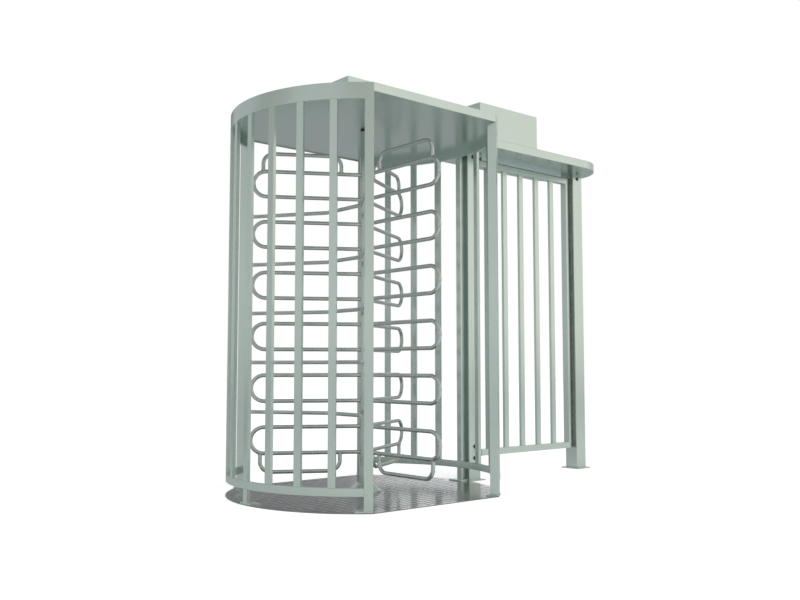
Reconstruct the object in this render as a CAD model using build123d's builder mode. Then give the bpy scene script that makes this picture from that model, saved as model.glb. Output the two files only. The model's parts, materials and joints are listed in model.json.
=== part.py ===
"""Full-height visitor turnstile with a barred service gate beside it.

Millimetres, +Z up. The origin is on the rotor's axis at floor level. +X runs along the
header towards the service gate and Y runs along the walkway through the rotor.
"""
from build123d import *
from math import cos, radians, sin
import os

os.makedirs("parts", exist_ok=True)

# ---------------------------------------------------------------- cage
CAGE_R = 798  # outer face of both curved guards
CAGE_HALF_Y = 657  # straight edge of the floor plate and the roof
ROOF_TOP = 2200
ROOF_LIP = 47
FLOOR_T = 5
FOOT_T = 8
FOOT_TOP = FLOOR_T + FOOT_T
BAND_DEPTH = 20  # radial thickness of rings, bands and upright bars
BAND_BOTTOM = 2112
RING_BOTTOM = 85
RING_TOP = 127
BAR_W = 40
BAR_PITCH = 13.45  # degrees between uprights
BARS_PER_GUARD = 7
POST_ANGLE = 4 * BAR_PITCH  # end posts, from the X axis
POST_DEPTH = 50
POST_W = 47
SECTION_WALL = 2
RAIL_END_X = 460  # the curved rails end in their posts beyond this distance from the walkway
GUARDS = {"right": 0, "left": 180}

# ---------------------------------------------------------------- feet and anchor holes
END_FOOT_L = 92
END_FOOT_W = 74
CENTRE_FOOT_L = 110
CENTRE_FOOT_W = 60
ANCHOR_R = 6
END_HOLE_REACH = 762  # from the rotor's axis
END_HOLE_ANGLE = POST_ANGLE - 3.4
END_HOLE_X = END_HOLE_REACH * cos(radians(END_HOLE_ANGLE))
END_HOLE_Y = END_HOLE_REACH * sin(radians(END_HOLE_ANGLE))
CENTRE_HOLE_X = 770
CENTRE_HOLE_Y = 36

# ---------------------------------------------------------------- rotor
COLUMN_R = 27
COLUMN_WALL = 3
COLUMN_BOTTOM = 40
COLUMN_TOP = 2148
TUBE_R = 11.5
TUBE_WALL = 1.5
ROW_PITCH = 150
TOP_ROW = 1884
LOOPS_PER_WING = 6
LOOP_REACH = 660  # centreline of the outer bend
WING_ANGLES = (30, 150, 270)
HANDLE_INNER = 142
HANDLE_OUTER = 605
HANDLE_RISE = 107
HANDLE_BEND = 62
BOTTOM_ROW = TOP_ROW - (2 * LOOPS_PER_WING - 1) * ROW_PITCH

# ---------------------------------------------------------------- barrier comb
COMB_X = -160
COMB_BEND_Y = 168
COMB_ARMS = 5
COMB_BEND = 26
COMB_TOP = TOP_ROW - 1.5 * ROW_PITCH

# ---------------------------------------------------------------- bearings and shafts
RUNNING_GAP = 0.05
SHAFT_R = 15
SHAFT_TOP = 2326
SHAFT_BOTTOM = 14
PLUG_R = COLUMN_R - COLUMN_WALL  # the shafts' plugs fill the column's ends
LOWER_PLUG_H = 40
UPPER_PLUG_H = 60
LOWER_HOUSING_R = 100
LOWER_HOUSING_FLANGE = 6
LOWER_HOUSING_TOP = 54
LOWER_HOUSING_NECK = 56
LOWER_HOUSING_MOUTH = 30
LOWER_BEARING_R = 26
LOWER_BEARING_TOP = 36
LOWER_SEAT_TOP = 38
BEARING_R = 31
BEARING_H = 16
SEAL_R = 26
CEILING_Z = 2160
SHEET = 2
ROOF_HOLE_R = 48
CEILING_HOLE_R = 24
BEAM_Y = 180
BEAM_W = 40
BEAM_WALL = 3
BEAM_BOTTOM = CEILING_Z + SHEET
BEAM_TOP = ROOF_TOP - SHEET

# ---------------------------------------------------------------- drive stack over the roof
PLATE_T = 8
PLATE_TOP = ROOF_TOP + PLATE_T
PLATE_X = 600
PLATE_Y = 440
HOUSING_SPIGOT_R = 40
HOUSING_SHELL_R = 42
HOUSING_FLANGE_R = 62
HOUSING_FLANGE_TOP = PLATE_TOP + 10
HOUSING_BORE_R = 20
HOUSING_SEAT_Z = PLATE_TOP + 6
HOUSING_TOP = 2240
HOUSING_BOLT_R = 52
BRAKE_PLATE_Z = 2248
BRAKE_PLATE_T = 6
BRAKE_LEG = 74
BRAKE_LEG_R = 7
BRAKE_R = 60
BRAKE_BORE_R = 24
STATOR_Z = BRAKE_PLATE_Z + BRAKE_PLATE_T
STATOR_TOP = STATOR_Z + 18
COIL_R = (37, 49)
ARMATURE_GAP = 0.5
ARMATURE_Z = STATOR_TOP + ARMATURE_GAP
ARMATURE_T = 4
ARMATURE_BORE_R = 26
HUB_BOTTOM = 2260
HUB_R = 21
HUB_FLANGE_Z = 2279
HUB_FLANGE_R = 46
HUB_FLANGE_T = 3
PULLEY_Z = 2286
PULLEY_H = 16
PULLEY_RIM = 4
PULLEY_RIM_T = 2
DRIVE_PULLEY_R = 45
DAMPER_PULLEY_R = 20
DAMPER_X = 180
DAMPER_R = 42
DAMPER_SHAFT_R = 7
DAMPER_SHAFT_DEPTH = 19
DAMPER_FOOT = 100
DAMPER_FOOT_T = 6
DAMPER_TOP = 2270
BELT_T = 2
BELT_H = 12
DISC_Z = 2310
DISC_R = 80
DISC_T = 3
DISC_HUB_R = 24
DISC_HUB_H = 9
SENSOR_X = -70
SENSOR_Y = 18
SENSOR_R = 6
SENSOR_H = 58
SENSOR_GAP = 2
CONDUIT_X = (250, 745)
CONDUIT_Y = 100
CONDUIT_LOW = 2180
CONDUIT_TOP = 2222
CONDUIT_R = 6
CONDUIT_WALL = 1.5
CONDUIT_BEND = 14
GLAND_R = 8

# ---------------------------------------------------------------- header and service gate
HEADER_HALF = 260
HEADER_BOTTOM = 2146
HEADER_END_X = 1795  # centre of the header's round end
COVER_HALF_X = 323
COVER_TOP = 2363
CABINET_X0 = 727
CABINET_X1 = 1270
CABINET_TOP = 2417
POST = 100
POST_WALL = 3
POST_FOOT = 152
POST_FOOT_T = 8
POST_HOLES = 118
CABLE_HOLE_R = 20
CABLE_PASS_R = 16
SPIGOT_H = 50
BOLT_HOLE_R = ANCHOR_R + 0.2
NUT_R = 10
BOLT_END = 6  # a cross bolt stands out this far each side of its post
HINGE_POST_X = 870
LATCH_POST_X = 1958
PIVOT_X = 945
PIVOT_R = 20
PIVOT_WALL = 3
PIN_R = 8
BUSH_H = 28
BRACKET_BOTTOM = 120
BRACKET_LEDGE = 142
BRACKET_TOP = 240
BRACKET_T = 12
BRACKET_SIDE = 22
HINGE_PLATE_T = 8
LEAF_DEPTH = 44
LEAF_BOTTOM = 150
LEAF_TOP = 2118
RAIL_H = 42
TOP_RAIL_H = 39
RAIL_WALL = 3
STILE_W = 25
STILES_X = (1055.5, 1870)
LEAF_END = 1882.5
GATE_BAR_X0 = 1220
GATE_BAR_PITCH = 163.5
GATE_BARS = 4
STRIP_X0 = PIVOT_X + 34
STRIP_H = 24
LOCK_X0 = 1806
LOCK_X1 = LATCH_POST_X - POST / 2
LOCK_H = 26
BOLT_X = 1838
BOLT_R = 8
BOLT_L = 25
STOP_W = 40  # how far the stop bar reaches out from the latch post
STOP_T = 5
STOP_Y = 31
BUFFER_W = 16
BUFFER_T = 6
BUFFER_REACH = 30
BUFFER_INSET = 10  # the rubber strips end this far inside the bars
CLOSING_W = 22  # narrows the gap between the leaf's edge and the latch post
CLOSING_T = 12
CLOSING_Y = -7
SEAL_T = 6
SEAL_W = 16
HINGE_PLATE_X = 58
HINGE_PLATE_Y = 70
CROSS_BOLT_Z = (144, 218, 2123)
SCREW_R = 6
SCREW_Y = 200
SCREW_Z = 14  # above the roof

# ---------------------------------------------------------------- electronics
TRAY_TOP = ROOF_TOP + SHEET
BOARD = (220, 150, 2)
BOARD_AT = (1000, 120)
SUPPLY = (200, 100, 40)
SUPPLY_AT = (1020, -120)


def wing_plane(angle):
    """Upright plane through the rotor's axis, its X pointing outwards along a wing."""
    a = radians(angle)
    return Plane(origin=(0, 0, 0), x_dir=(cos(a), sin(a), 0), z_dir=(sin(a), -cos(a), 0))


def sweep_tube(path):
    """Sweep the turnstile's standard round tube along a wire, in the open part."""
    with BuildSketch(Plane(origin=path @ 0, z_dir=path % 0)) as section:
        Circle(TUBE_R)
        Circle(TUBE_R - TUBE_WALL, mode=Mode.SUBTRACT)
    sweep(sections=section.sketch, path=path)


def box_section(width, height, wall):
    """Closed rectangular tube section, in the open sketch."""
    Rectangle(width, height)
    Rectangle(width - 2 * wall, height - 2 * wall, mode=Mode.SUBTRACT)


def end_post_spots(facing):
    """The two end posts of the guard whose middle faces the given direction."""
    r = CAGE_R - POST_DEPTH / 2
    return PolarLocations(r, 2, facing - POST_ANGLE, 2 * POST_ANGLE, endpoint=True)


def upright_spots(facing):
    """The bars of one guard between its end posts."""
    r = CAGE_R - BAND_DEPTH / 2
    half = (BARS_PER_GUARD - 1) / 2 * BAR_PITCH
    return PolarLocations(r, BARS_PER_GUARD, facing - half, 2 * half, endpoint=True)


def guard_arc(facing):
    """Plan of a curved rail that butts against the two end posts of one guard."""
    side = cos(radians(facing))
    with BuildSketch() as arc:
        Circle(CAGE_R)
        Circle(CAGE_R - BAND_DEPTH, mode=Mode.SUBTRACT)
        with Locations((side * CAGE_R, 0)):
            Rectangle(2 * (CAGE_R - RAIL_END_X), 2 * CAGE_R, mode=Mode.INTERSECT)
        with end_post_spots(facing):
            Rectangle(POST_DEPTH, POST_W, mode=Mode.SUBTRACT)
    return arc.sketch


def cage_plan():
    """Plan of a sheet that fills the cage inside the rails and posts, in the open sketch."""
    Circle(CAGE_R)
    Rectangle(2 * CAGE_R, 2 * CAGE_HALF_Y, mode=Mode.INTERSECT)
    for facing in GUARDS.values():
        add(guard_arc(facing), mode=Mode.SUBTRACT)
        with end_post_spots(facing):
            Rectangle(POST_DEPTH, POST_W, mode=Mode.SUBTRACT)


def header_plan(inset):
    """Plan of the header: square against the cage, half round at the far end."""
    half = HEADER_HALF - inset
    with Locations((HEADER_END_X / 2, 0)):
        Rectangle(HEADER_END_X, 2 * half)
    with Locations((HEADER_END_X, 0)):
        Circle(half)
    Circle(CAGE_R + inset, mode=Mode.SUBTRACT)


def anchor_holes():
    """Anchor holes through the cage's foot plates, in the open sketch."""
    for sx in (-1, 1):
        for sy in (-1, 1):
            with Locations((sx * END_HOLE_X, sy * END_HOLE_Y), (sx * CENTRE_HOLE_X, sy * CENTRE_HOLE_Y)):
                Circle(ANCHOR_R, mode=Mode.SUBTRACT)


# ================================================================ floor and feet
with BuildPart() as floor_plate:
    with BuildSketch():
        Circle(CAGE_R)
        Rectangle(2 * CAGE_R, 2 * CAGE_HALF_Y, mode=Mode.INTERSECT)
        anchor_holes()
    extrude(amount=FLOOR_T)
floor_plate.part.label = "floor_plate"
export_step(floor_plate.part, "parts/floor_plate.step")

with BuildPart() as guard_foot_plates:
    with BuildSketch(Plane.XY.offset(FLOOR_T)):
        for facing in GUARDS.values():
            for turn in (-1, 1):
                angle = facing + turn * POST_ANGLE
                with PolarLocations(CAGE_R - END_FOOT_W / 2, 1, angle):
                    with Locations((0, -turn * (END_FOOT_L - POST_W) / 2)):
                        Rectangle(END_FOOT_W, END_FOOT_L)
            with PolarLocations(CAGE_R - CENTRE_FOOT_W / 2, 1, facing):
                Rectangle(CENTRE_FOOT_W, CENTRE_FOOT_L)
        Circle(CAGE_R, mode=Mode.INTERSECT)
        anchor_holes()
    extrude(amount=FOOT_T)
guard_foot_plates.part.label = "guard_foot_plates"
export_step(guard_foot_plates.part, "parts/guard_foot_plates.step")

# ================================================================ curved guards
for side, facing in GUARDS.items():
    with BuildPart() as top_band:
        with BuildSketch(Plane.XY.offset(BAND_BOTTOM)):
            add(guard_arc(facing))
        extrude(amount=ROOF_TOP - BAND_BOTTOM)
    top_band.part.label = f"{side}_guard_top_band"
    export_step(top_band.part, f"parts/{side}_guard_top_band.step")

    with BuildPart() as bottom_ring:
        with BuildSketch(Plane.XY.offset(RING_BOTTOM)):
            add(guard_arc(facing))
        extrude(amount=RING_TOP - RING_BOTTOM)
    bottom_ring.part.label = f"{side}_guard_bottom_ring"
    export_step(bottom_ring.part, f"parts/{side}_guard_bottom_ring.step")

    with BuildPart() as bars:
        with BuildSketch(Plane.XY.offset(RING_TOP)):
            with upright_spots(facing):
                box_section(BAND_DEPTH, BAR_W, SECTION_WALL)
        extrude(amount=BAND_BOTTOM - RING_TOP)
        with BuildSketch(Plane.XY.offset(FOOT_TOP)):
            with PolarLocations(CAGE_R - BAND_DEPTH / 2, 1, facing):
                box_section(BAND_DEPTH, BAR_W, SECTION_WALL)
        extrude(amount=RING_BOTTOM - FOOT_TOP)
    bars.part.label = f"{side}_guard_bars"
    export_step(bars.part, f"parts/{side}_guard_bars.step")

    with BuildPart() as end_posts:
        with BuildSketch(Plane.XY.offset(FOOT_TOP)):
            with end_post_spots(facing):
                box_section(POST_DEPTH, POST_W, SECTION_WALL)
        extrude(amount=ROOF_TOP - FOOT_TOP)
        with BuildSketch(Plane.XY.offset(ROOF_TOP - SHEET)):
            with end_post_spots(facing):
                Rectangle(POST_DEPTH, POST_W)
        extrude(amount=SHEET)
    end_posts.part.label = f"{side}_guard_end_posts"
    export_step(end_posts.part, f"parts/{side}_guard_end_posts.step")

# ================================================================ barrier comb
comb_post_x = -(CAGE_R - POST_DEPTH / 2) * cos(radians(POST_ANGLE))
comb_post_y = (CAGE_R - POST_DEPTH / 2) * sin(radians(POST_ANGLE))
with BuildPart() as comb_arms:
    for arm in range(COMB_ARMS):
        with BuildLine(Plane.XY.offset(COMB_TOP - 2 * arm * ROW_PITCH)) as arm_path:
            FilletPolyline(
                (comb_post_x, comb_post_y),
                (COMB_X, COMB_BEND_Y),
                (COMB_X, -COMB_BEND_Y),
                (comb_post_x, -comb_post_y),
                radius=COMB_BEND,
            )
        sweep_tube(arm_path.wire())
    with BuildSketch(Plane.XY.offset(FOOT_TOP)):
        with end_post_spots(GUARDS["left"]):
            Rectangle(POST_DEPTH, POST_W)
    extrude(amount=ROOF_TOP - FOOT_TOP, mode=Mode.SUBTRACT)
comb_arms.part.label = "comb_arms"
export_step(comb_arms.part, "parts/comb_arms.step")

# ================================================================ roof
with BuildPart() as roof_sheet:
    with BuildSketch(Plane.XY.offset(ROOF_TOP - SHEET)):
        cage_plan()
        Circle(ROOF_HOLE_R, mode=Mode.SUBTRACT)
        with Locations(*[(x, CONDUIT_Y) for x in CONDUIT_X]):
            Circle(GLAND_R, mode=Mode.SUBTRACT)
    extrude(amount=SHEET)
    with BuildSketch(Plane.XY.offset(ROOF_TOP - ROOF_LIP)):
        cage_plan()
        Rectangle(2 * CAGE_R, 2 * (CAGE_HALF_Y - SHEET), mode=Mode.SUBTRACT)
    extrude(amount=ROOF_LIP)
roof_sheet.part.label = "roof_sheet"
export_step(roof_sheet.part, "parts/roof_sheet.step")

with BuildPart() as ceiling_panel:
    with BuildSketch(Plane.XY.offset(CEILING_Z)):
        cage_plan()
        Rectangle(2 * CAGE_R, 2 * (CAGE_HALF_Y - SHEET), mode=Mode.INTERSECT)
        Circle(CEILING_HOLE_R, mode=Mode.SUBTRACT)
    extrude(amount=SHEET)
ceiling_panel.part.label = "ceiling_panel"
export_step(ceiling_panel.part, "parts/ceiling_panel.step")

with BuildPart() as roof_beams:
    with BuildSketch(Plane.XY.offset(BEAM_BOTTOM)):
        with Locations((0, -BEAM_Y), (0, BEAM_Y)):
            Rectangle(2 * CAGE_R, BEAM_W)
        Circle(CAGE_R - BAND_DEPTH, mode=Mode.INTERSECT)
    extrude(amount=BEAM_TOP - BEAM_BOTTOM)
    beam_core = BEAM_TOP - BEAM_BOTTOM - 2 * BEAM_WALL
    for y in (-BEAM_Y, BEAM_Y):
        with Locations((0, y, (BEAM_BOTTOM + BEAM_TOP) / 2)):
            Box(2 * CAGE_R, BEAM_W - 2 * BEAM_WALL, beam_core, mode=Mode.SUBTRACT)
roof_beams.part.label = "roof_beams"
export_step(roof_beams.part, "parts/roof_beams.step")

# ================================================================ header
with BuildPart() as header_tray:
    with BuildSketch(Plane.XY.offset(HEADER_BOTTOM)):
        header_plan(0)
        with Locations((HINGE_POST_X, 0)):
            Circle(CABLE_PASS_R, mode=Mode.SUBTRACT)
    extrude(amount=ROOF_TOP - SHEET - HEADER_BOTTOM)
    with BuildSketch(Plane.XY.offset(HEADER_BOTTOM + SHEET)):
        header_plan(SHEET)
    extrude(amount=ROOF_TOP - HEADER_BOTTOM, mode=Mode.SUBTRACT)
    with BuildSketch(Plane.XY.offset(HEADER_BOTTOM - SPIGOT_H)):
        with Locations((HINGE_POST_X, 0), (LATCH_POST_X, 0)):
            box_section(POST - 2 * POST_WALL, POST - 2 * POST_WALL, POST_WALL)
    extrude(amount=SPIGOT_H)
    for x in (HINGE_POST_X, LATCH_POST_X):
        with Locations(Location((x, 0, CROSS_BOLT_Z[-1]), (90, 0, 0))):
            Cylinder(BOLT_HOLE_R, POST, mode=Mode.SUBTRACT)
header_tray.part.label = "header_tray"
export_step(header_tray.part, "parts/header_tray.step")

with BuildPart() as header_lid:
    with BuildSketch(Plane.XY.offset(ROOF_TOP - SHEET)):
        header_plan(0)
        with Locations((HINGE_POST_X, 0)):
            Circle(CABLE_PASS_R, mode=Mode.SUBTRACT)
    extrude(amount=SHEET)
header_lid.part.label = "header_lid"
export_step(header_lid.part, "parts/header_lid.step")

# ================================================================ gate posts
with BuildPart() as gate_posts:
    with BuildSketch(Plane.XY.offset(POST_FOOT_T)):
        with Locations((HINGE_POST_X, 0), (LATCH_POST_X, 0)):
            box_section(POST, POST, POST_WALL)
    extrude(amount=HEADER_BOTTOM - POST_FOOT_T)
    for z in CROSS_BOLT_Z:
        with Locations(Location((HINGE_POST_X, 0, z), (90, 0, 0))):
            Cylinder(BOLT_HOLE_R, POST + 10, mode=Mode.SUBTRACT)
    with Locations(Location((LATCH_POST_X, 0, CROSS_BOLT_Z[-1]), (90, 0, 0))):
        Cylinder(BOLT_HOLE_R, POST + 10, mode=Mode.SUBTRACT)
    with Locations((HINGE_POST_X + POST / 2, 0, (BRACKET_BOTTOM + BRACKET_LEDGE) / 2)):
        Box(20, BRACKET_T + 2, BRACKET_LEDGE - BRACKET_BOTTOM + 4, mode=Mode.SUBTRACT)
gate_posts.part.label = "gate_posts"
export_step(gate_posts.part, "parts/gate_posts.step")

with BuildPart() as gate_post_base_plates:
    with BuildSketch():
        with Locations((HINGE_POST_X, 0), (LATCH_POST_X, 0)):
            RectangleRounded(POST_FOOT, POST_FOOT, 6)
            with GridLocations(POST_HOLES, POST_HOLES, 2, 2):
                Circle(ANCHOR_R, mode=Mode.SUBTRACT)
        with Locations((HINGE_POST_X, 0)):
            Circle(CABLE_HOLE_R, mode=Mode.SUBTRACT)
        Circle(CAGE_R, mode=Mode.SUBTRACT)
    extrude(amount=POST_FOOT_T)
gate_post_base_plates.part.label = "gate_post_base_plates"
export_step(gate_post_base_plates.part, "parts/gate_post_base_plates.step")

with BuildPart() as post_cross_bolts:
    bolt_spots = [(HINGE_POST_X, z) for z in CROSS_BOLT_Z] + [(LATCH_POST_X, CROSS_BOLT_Z[-1])]
    for x, z in bolt_spots:
        with Locations(Location((x, 0, z), (90, 0, 0))):
            Cylinder(ANCHOR_R, POST + 2 * BOLT_END)
        for y, thickness in ((-POST / 2 - 7, 7), (POST / 2, 9)):
            with BuildSketch(Plane(origin=(x, y, z), z_dir=(0, 1, 0))):
                RegularPolygon(NUT_R, 6)
            extrude(amount=thickness)
post_cross_bolts.part.label = "post_cross_bolts"
export_step(post_cross_bolts.part, "parts/post_cross_bolts.step")

# ================================================================ gate hinges and stops
with BuildPart() as lower_hinge_bracket:
    with BuildSketch(Plane.XZ.offset(-BRACKET_T / 2)):
        with BuildLine():
            Polyline(
                (HINGE_POST_X - BRACKET_SIDE, BRACKET_BOTTOM),
                (PIVOT_X + BRACKET_SIDE, BRACKET_BOTTOM),
                (PIVOT_X + BRACKET_SIDE, BRACKET_LEDGE),
                (HINGE_POST_X + POST / 2 - 5, BRACKET_LEDGE),
                (HINGE_POST_X + POST / 2 - 5, BRACKET_TOP),
                (HINGE_POST_X - BRACKET_SIDE, BRACKET_TOP),
                close=True,
            )
        make_face()
    extrude(amount=BRACKET_T)
    boss_h = BRACKET_LEDGE - BRACKET_BOTTOM
    with Locations((PIVOT_X, 0, BRACKET_BOTTOM + boss_h / 2)):
        Cylinder(PIVOT_R, boss_h)
        Cylinder(PIN_R, boss_h, mode=Mode.SUBTRACT)
    for z in CROSS_BOLT_Z[:2]:
        with Locations(Location((HINGE_POST_X, 0, z), (90, 0, 0))):
            Cylinder(BOLT_HOLE_R, 2 * BRACKET_T, mode=Mode.SUBTRACT)
lower_hinge_bracket.part.label = "lower_hinge_bracket"
export_step(lower_hinge_bracket.part, "parts/lower_hinge_bracket.step")

with BuildPart() as upper_hinge_plate:
    with BuildSketch(Plane.XY.offset(HEADER_BOTTOM - HINGE_PLATE_T)):
        with Locations((PIVOT_X + 5, 0)):
            Rectangle(HINGE_PLATE_X, HINGE_PLATE_Y)
        with Locations((PIVOT_X, 0)):
            Circle(PIN_R, mode=Mode.SUBTRACT)
    extrude(amount=HINGE_PLATE_T)
upper_hinge_plate.part.label = "upper_hinge_plate"
export_step(upper_hinge_plate.part, "parts/upper_hinge_plate.step")

with BuildPart() as hinge_pins:
    for low, high in ((BRACKET_BOTTOM, LEAF_BOTTOM + BUSH_H), (LEAF_TOP - BUSH_H - 2, HEADER_BOTTOM)):
        with BuildSketch(Plane.XY.offset(low)):
            with Locations((PIVOT_X, 0)):
                Circle(PIN_R)
        extrude(amount=high - low)
hinge_pins.part.label = "hinge_pins"
export_step(hinge_pins.part, "parts/hinge_pins.step")

with BuildPart() as gate_head_strip:
    with Locations(((STRIP_X0 + LOCK_X0) / 2, 0, HEADER_BOTTOM - STRIP_H / 2)):
        Box(LOCK_X0 - STRIP_X0, LEAF_DEPTH, STRIP_H)
    with Locations(((STRIP_X0 + LOCK_X0) / 2, 0, HEADER_BOTTOM - STRIP_H / 2 - SHEET)):
        Box(LOCK_X0 - STRIP_X0, LEAF_DEPTH - 3 * SHEET, STRIP_H, mode=Mode.SUBTRACT)
gate_head_strip.part.label = "gate_head_strip"
export_step(gate_head_strip.part, "parts/gate_head_strip.step")

with BuildPart() as gate_stop_bar:
    with BuildSketch(Plane.XY.offset(LEAF_BOTTOM)):
        with Locations((LOCK_X1 - STOP_W / 2, STOP_Y)):
            Rectangle(STOP_W, STOP_T)
        with Locations((LOCK_X1 - CLOSING_W / 2, CLOSING_Y)):
            Rectangle(CLOSING_W, CLOSING_T)
    extrude(amount=LEAF_TOP - LEAF_BOTTOM)
gate_stop_bar.part.label = "gate_stop_bar"
export_step(gate_stop_bar.part, "parts/gate_stop_bar.step")

with BuildPart() as gate_buffer_strip:
    with BuildSketch(Plane.XY.offset(LEAF_BOTTOM + BUFFER_INSET)):
        with Locations((LOCK_X1 - BUFFER_REACH, STOP_Y - (STOP_T + BUFFER_T) / 2)):
            Rectangle(BUFFER_W, BUFFER_T)
        with Locations((LOCK_X1 - SEAL_T / 2, CLOSING_Y - (CLOSING_T + SEAL_W) / 2)):
            Rectangle(SEAL_T, SEAL_W)
    extrude(amount=LEAF_TOP - LEAF_BOTTOM - 2 * BUFFER_INSET)
gate_buffer_strip.part.label = "gate_buffer_strip"
export_step(gate_buffer_strip.part, "parts/gate_buffer_strip.step")

# ================================================================ gate lock
with BuildPart() as gate_lock_housing:
    with Locations(((LOCK_X0 + LOCK_X1) / 2, 0, HEADER_BOTTOM - LOCK_H / 2)):
        Box(LOCK_X1 - LOCK_X0, LEAF_DEPTH + 4, LOCK_H)
    with Locations((BOLT_X, 0, HEADER_BOTTOM - LOCK_H / 2)):
        Cylinder(BOLT_R + RUNNING_GAP, LOCK_H, mode=Mode.SUBTRACT)
gate_lock_housing.part.label = "gate_lock_housing"
export_step(gate_lock_housing.part, "parts/gate_lock_housing.step")

with BuildPart() as gate_lock_bolt:
    with Locations((BOLT_X, 0, HEADER_BOTTOM - LOCK_H / 2)):
        Cylinder(BOLT_R, BOLT_L)
    chamfer(gate_lock_bolt.edges().group_by(Axis.Z)[0], 1.5)
gate_lock_bolt.part.label = "gate_lock_bolt"
export_step(gate_lock_bolt.part, "parts/gate_lock_bolt.step")

# ================================================================ gate leaf
with BuildPart() as gate_pivot_tube:
    with BuildSketch(Plane.XY.offset(LEAF_BOTTOM)):
        with Locations((PIVOT_X, 0)):
            Circle(PIVOT_R)
            Circle(PIVOT_R - PIVOT_WALL, mode=Mode.SUBTRACT)
    extrude(amount=LEAF_TOP - LEAF_BOTTOM)
gate_pivot_tube.part.label = "gate_pivot_tube"
export_step(gate_pivot_tube.part, "parts/gate_pivot_tube.step")

with BuildPart() as gate_bushes:
    for low in (LEAF_BOTTOM, LEAF_TOP - BUSH_H):
        with BuildSketch(Plane.XY.offset(low)):
            with Locations((PIVOT_X, 0)):
                Circle(PIVOT_R - PIVOT_WALL)
        extrude(amount=BUSH_H)
    with BuildSketch(Plane.XY.offset(BRACKET_LEDGE + RUNNING_GAP)):
        with Locations((PIVOT_X, 0)):
            Circle(PIVOT_R - 2)
    extrude(amount=LEAF_BOTTOM - BRACKET_LEDGE - RUNNING_GAP)
    with Locations((PIVOT_X, 0, (LEAF_BOTTOM + LEAF_TOP) / 2)):
        Cylinder(PIN_R + RUNNING_GAP, LEAF_TOP, mode=Mode.SUBTRACT)
gate_bushes.part.label = "gate_bushes"
export_step(gate_bushes.part, "parts/gate_bushes.step")

rail_x0 = PIVOT_X + 12
top_rail_z = LEAF_TOP - TOP_RAIL_H
bar_h = top_rail_z - LEAF_BOTTOM - RAIL_H
with BuildPart() as gate_frame:
    for low, height in ((LEAF_BOTTOM, RAIL_H), (top_rail_z, TOP_RAIL_H)):
        with Locations(((rail_x0 + LEAF_END) / 2, 0, low + height / 2)):
            rail = Box(LEAF_END - rail_x0, LEAF_DEPTH, height)
        chamfer(rail.edges().filter_by(Axis.Z).group_by(Axis.X)[0], 10)
        with Locations((LEAF_END, 0, low + height / 2)):
            core = (LEAF_DEPTH - 2 * RAIL_WALL, height - 2 * RAIL_WALL)
            Box(2 * (LEAF_END - PIVOT_X - 45), *core, mode=Mode.SUBTRACT)
        with Locations((PIVOT_X, 0, low + height / 2)):
            Cylinder(PIVOT_R, height + 2, mode=Mode.SUBTRACT)
    with Locations((BOLT_X, 0, LEAF_TOP)):
        Cylinder(BOLT_R + 0.6, 60, mode=Mode.SUBTRACT)
    with BuildSketch(Plane.XY.offset(LEAF_BOTTOM + RAIL_H)):
        with Locations(*[(x, 0) for x in STILES_X]):
            box_section(STILE_W, LEAF_DEPTH, SECTION_WALL)
    extrude(amount=bar_h)
gate_frame.part.label = "gate_frame"
export_step(gate_frame.part, "parts/gate_frame.step")

with BuildPart() as gate_bars:
    with BuildSketch(Plane.XY.offset(LEAF_BOTTOM + RAIL_H)):
        for i in range(GATE_BARS):
            with Locations((GATE_BAR_X0 + i * GATE_BAR_PITCH, 0)):
                box_section(BAR_W, 20, SECTION_WALL)
    extrude(amount=bar_h)
gate_bars.part.label = "gate_bars"
export_step(gate_bars.part, "parts/gate_bars.step")

# ================================================================ rotor
with BuildPart() as rotor_column:
    with BuildSketch(Plane.XY.offset(COLUMN_BOTTOM)):
        Circle(COLUMN_R)
        Circle(COLUMN_R - COLUMN_WALL, mode=Mode.SUBTRACT)
    extrude(amount=COLUMN_TOP - COLUMN_BOTTOM)
rotor_column.part.label = "rotor_column"
export_step(rotor_column.part, "parts/rotor_column.step")

bend_x = LOOP_REACH - ROW_PITCH / 2
with BuildPart() as wing_loops:
    for angle in WING_ANGLES:
        for loop in range(LOOPS_PER_WING):
            upper = TOP_ROW - 2 * loop * ROW_PITCH
            lower = upper - ROW_PITCH
            with BuildLine(wing_plane(angle)) as loop_path:
                Line((0, upper), (bend_x, upper))
                ThreePointArc((bend_x, upper), (LOOP_REACH, (upper + lower) / 2), (bend_x, lower))
                Line((bend_x, lower), (0, lower))
            sweep_tube(loop_path.wire())
    with BuildSketch(Plane.XY.offset(COLUMN_BOTTOM)):
        Circle(COLUMN_R)
    extrude(amount=COLUMN_TOP - COLUMN_BOTTOM, mode=Mode.SUBTRACT)
wing_loops.part.label = "wing_loops"
export_step(wing_loops.part, "parts/wing_loops.step")

with BuildPart() as rotor_handles:
    for angle in WING_ANGLES:
        for row, rise in ((TOP_ROW, HANDLE_RISE), (BOTTOM_ROW, -HANDLE_RISE)):
            with BuildLine(wing_plane(angle)) as handle_path:
                FilletPolyline(
                    (HANDLE_INNER, row),
                    (HANDLE_INNER, row + rise),
                    (HANDLE_OUTER, row + rise),
                    (HANDLE_OUTER, row),
                    radius=HANDLE_BEND,
                )
            sweep_tube(handle_path.wire())
            loop_tube = Plane(origin=(0, 0, row), z_dir=wing_plane(angle).x_dir)
            with BuildSketch(loop_tube):
                Circle(TUBE_R)
            extrude(amount=LOOP_REACH, mode=Mode.SUBTRACT)
            bend_centre = wing_plane(angle).from_local_coords((bend_x, row - ROW_PITCH / 2, 0))
            if row == BOTTOM_ROW:
                bend_centre = wing_plane(angle).from_local_coords((bend_x, row + ROW_PITCH / 2, 0))
            bend_plane = Plane(origin=bend_centre, z_dir=wing_plane(angle).z_dir)
            with Locations(bend_plane.location):
                Torus(ROW_PITCH / 2, TUBE_R, mode=Mode.SUBTRACT)
rotor_handles.part.label = "rotor_handles"
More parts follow.
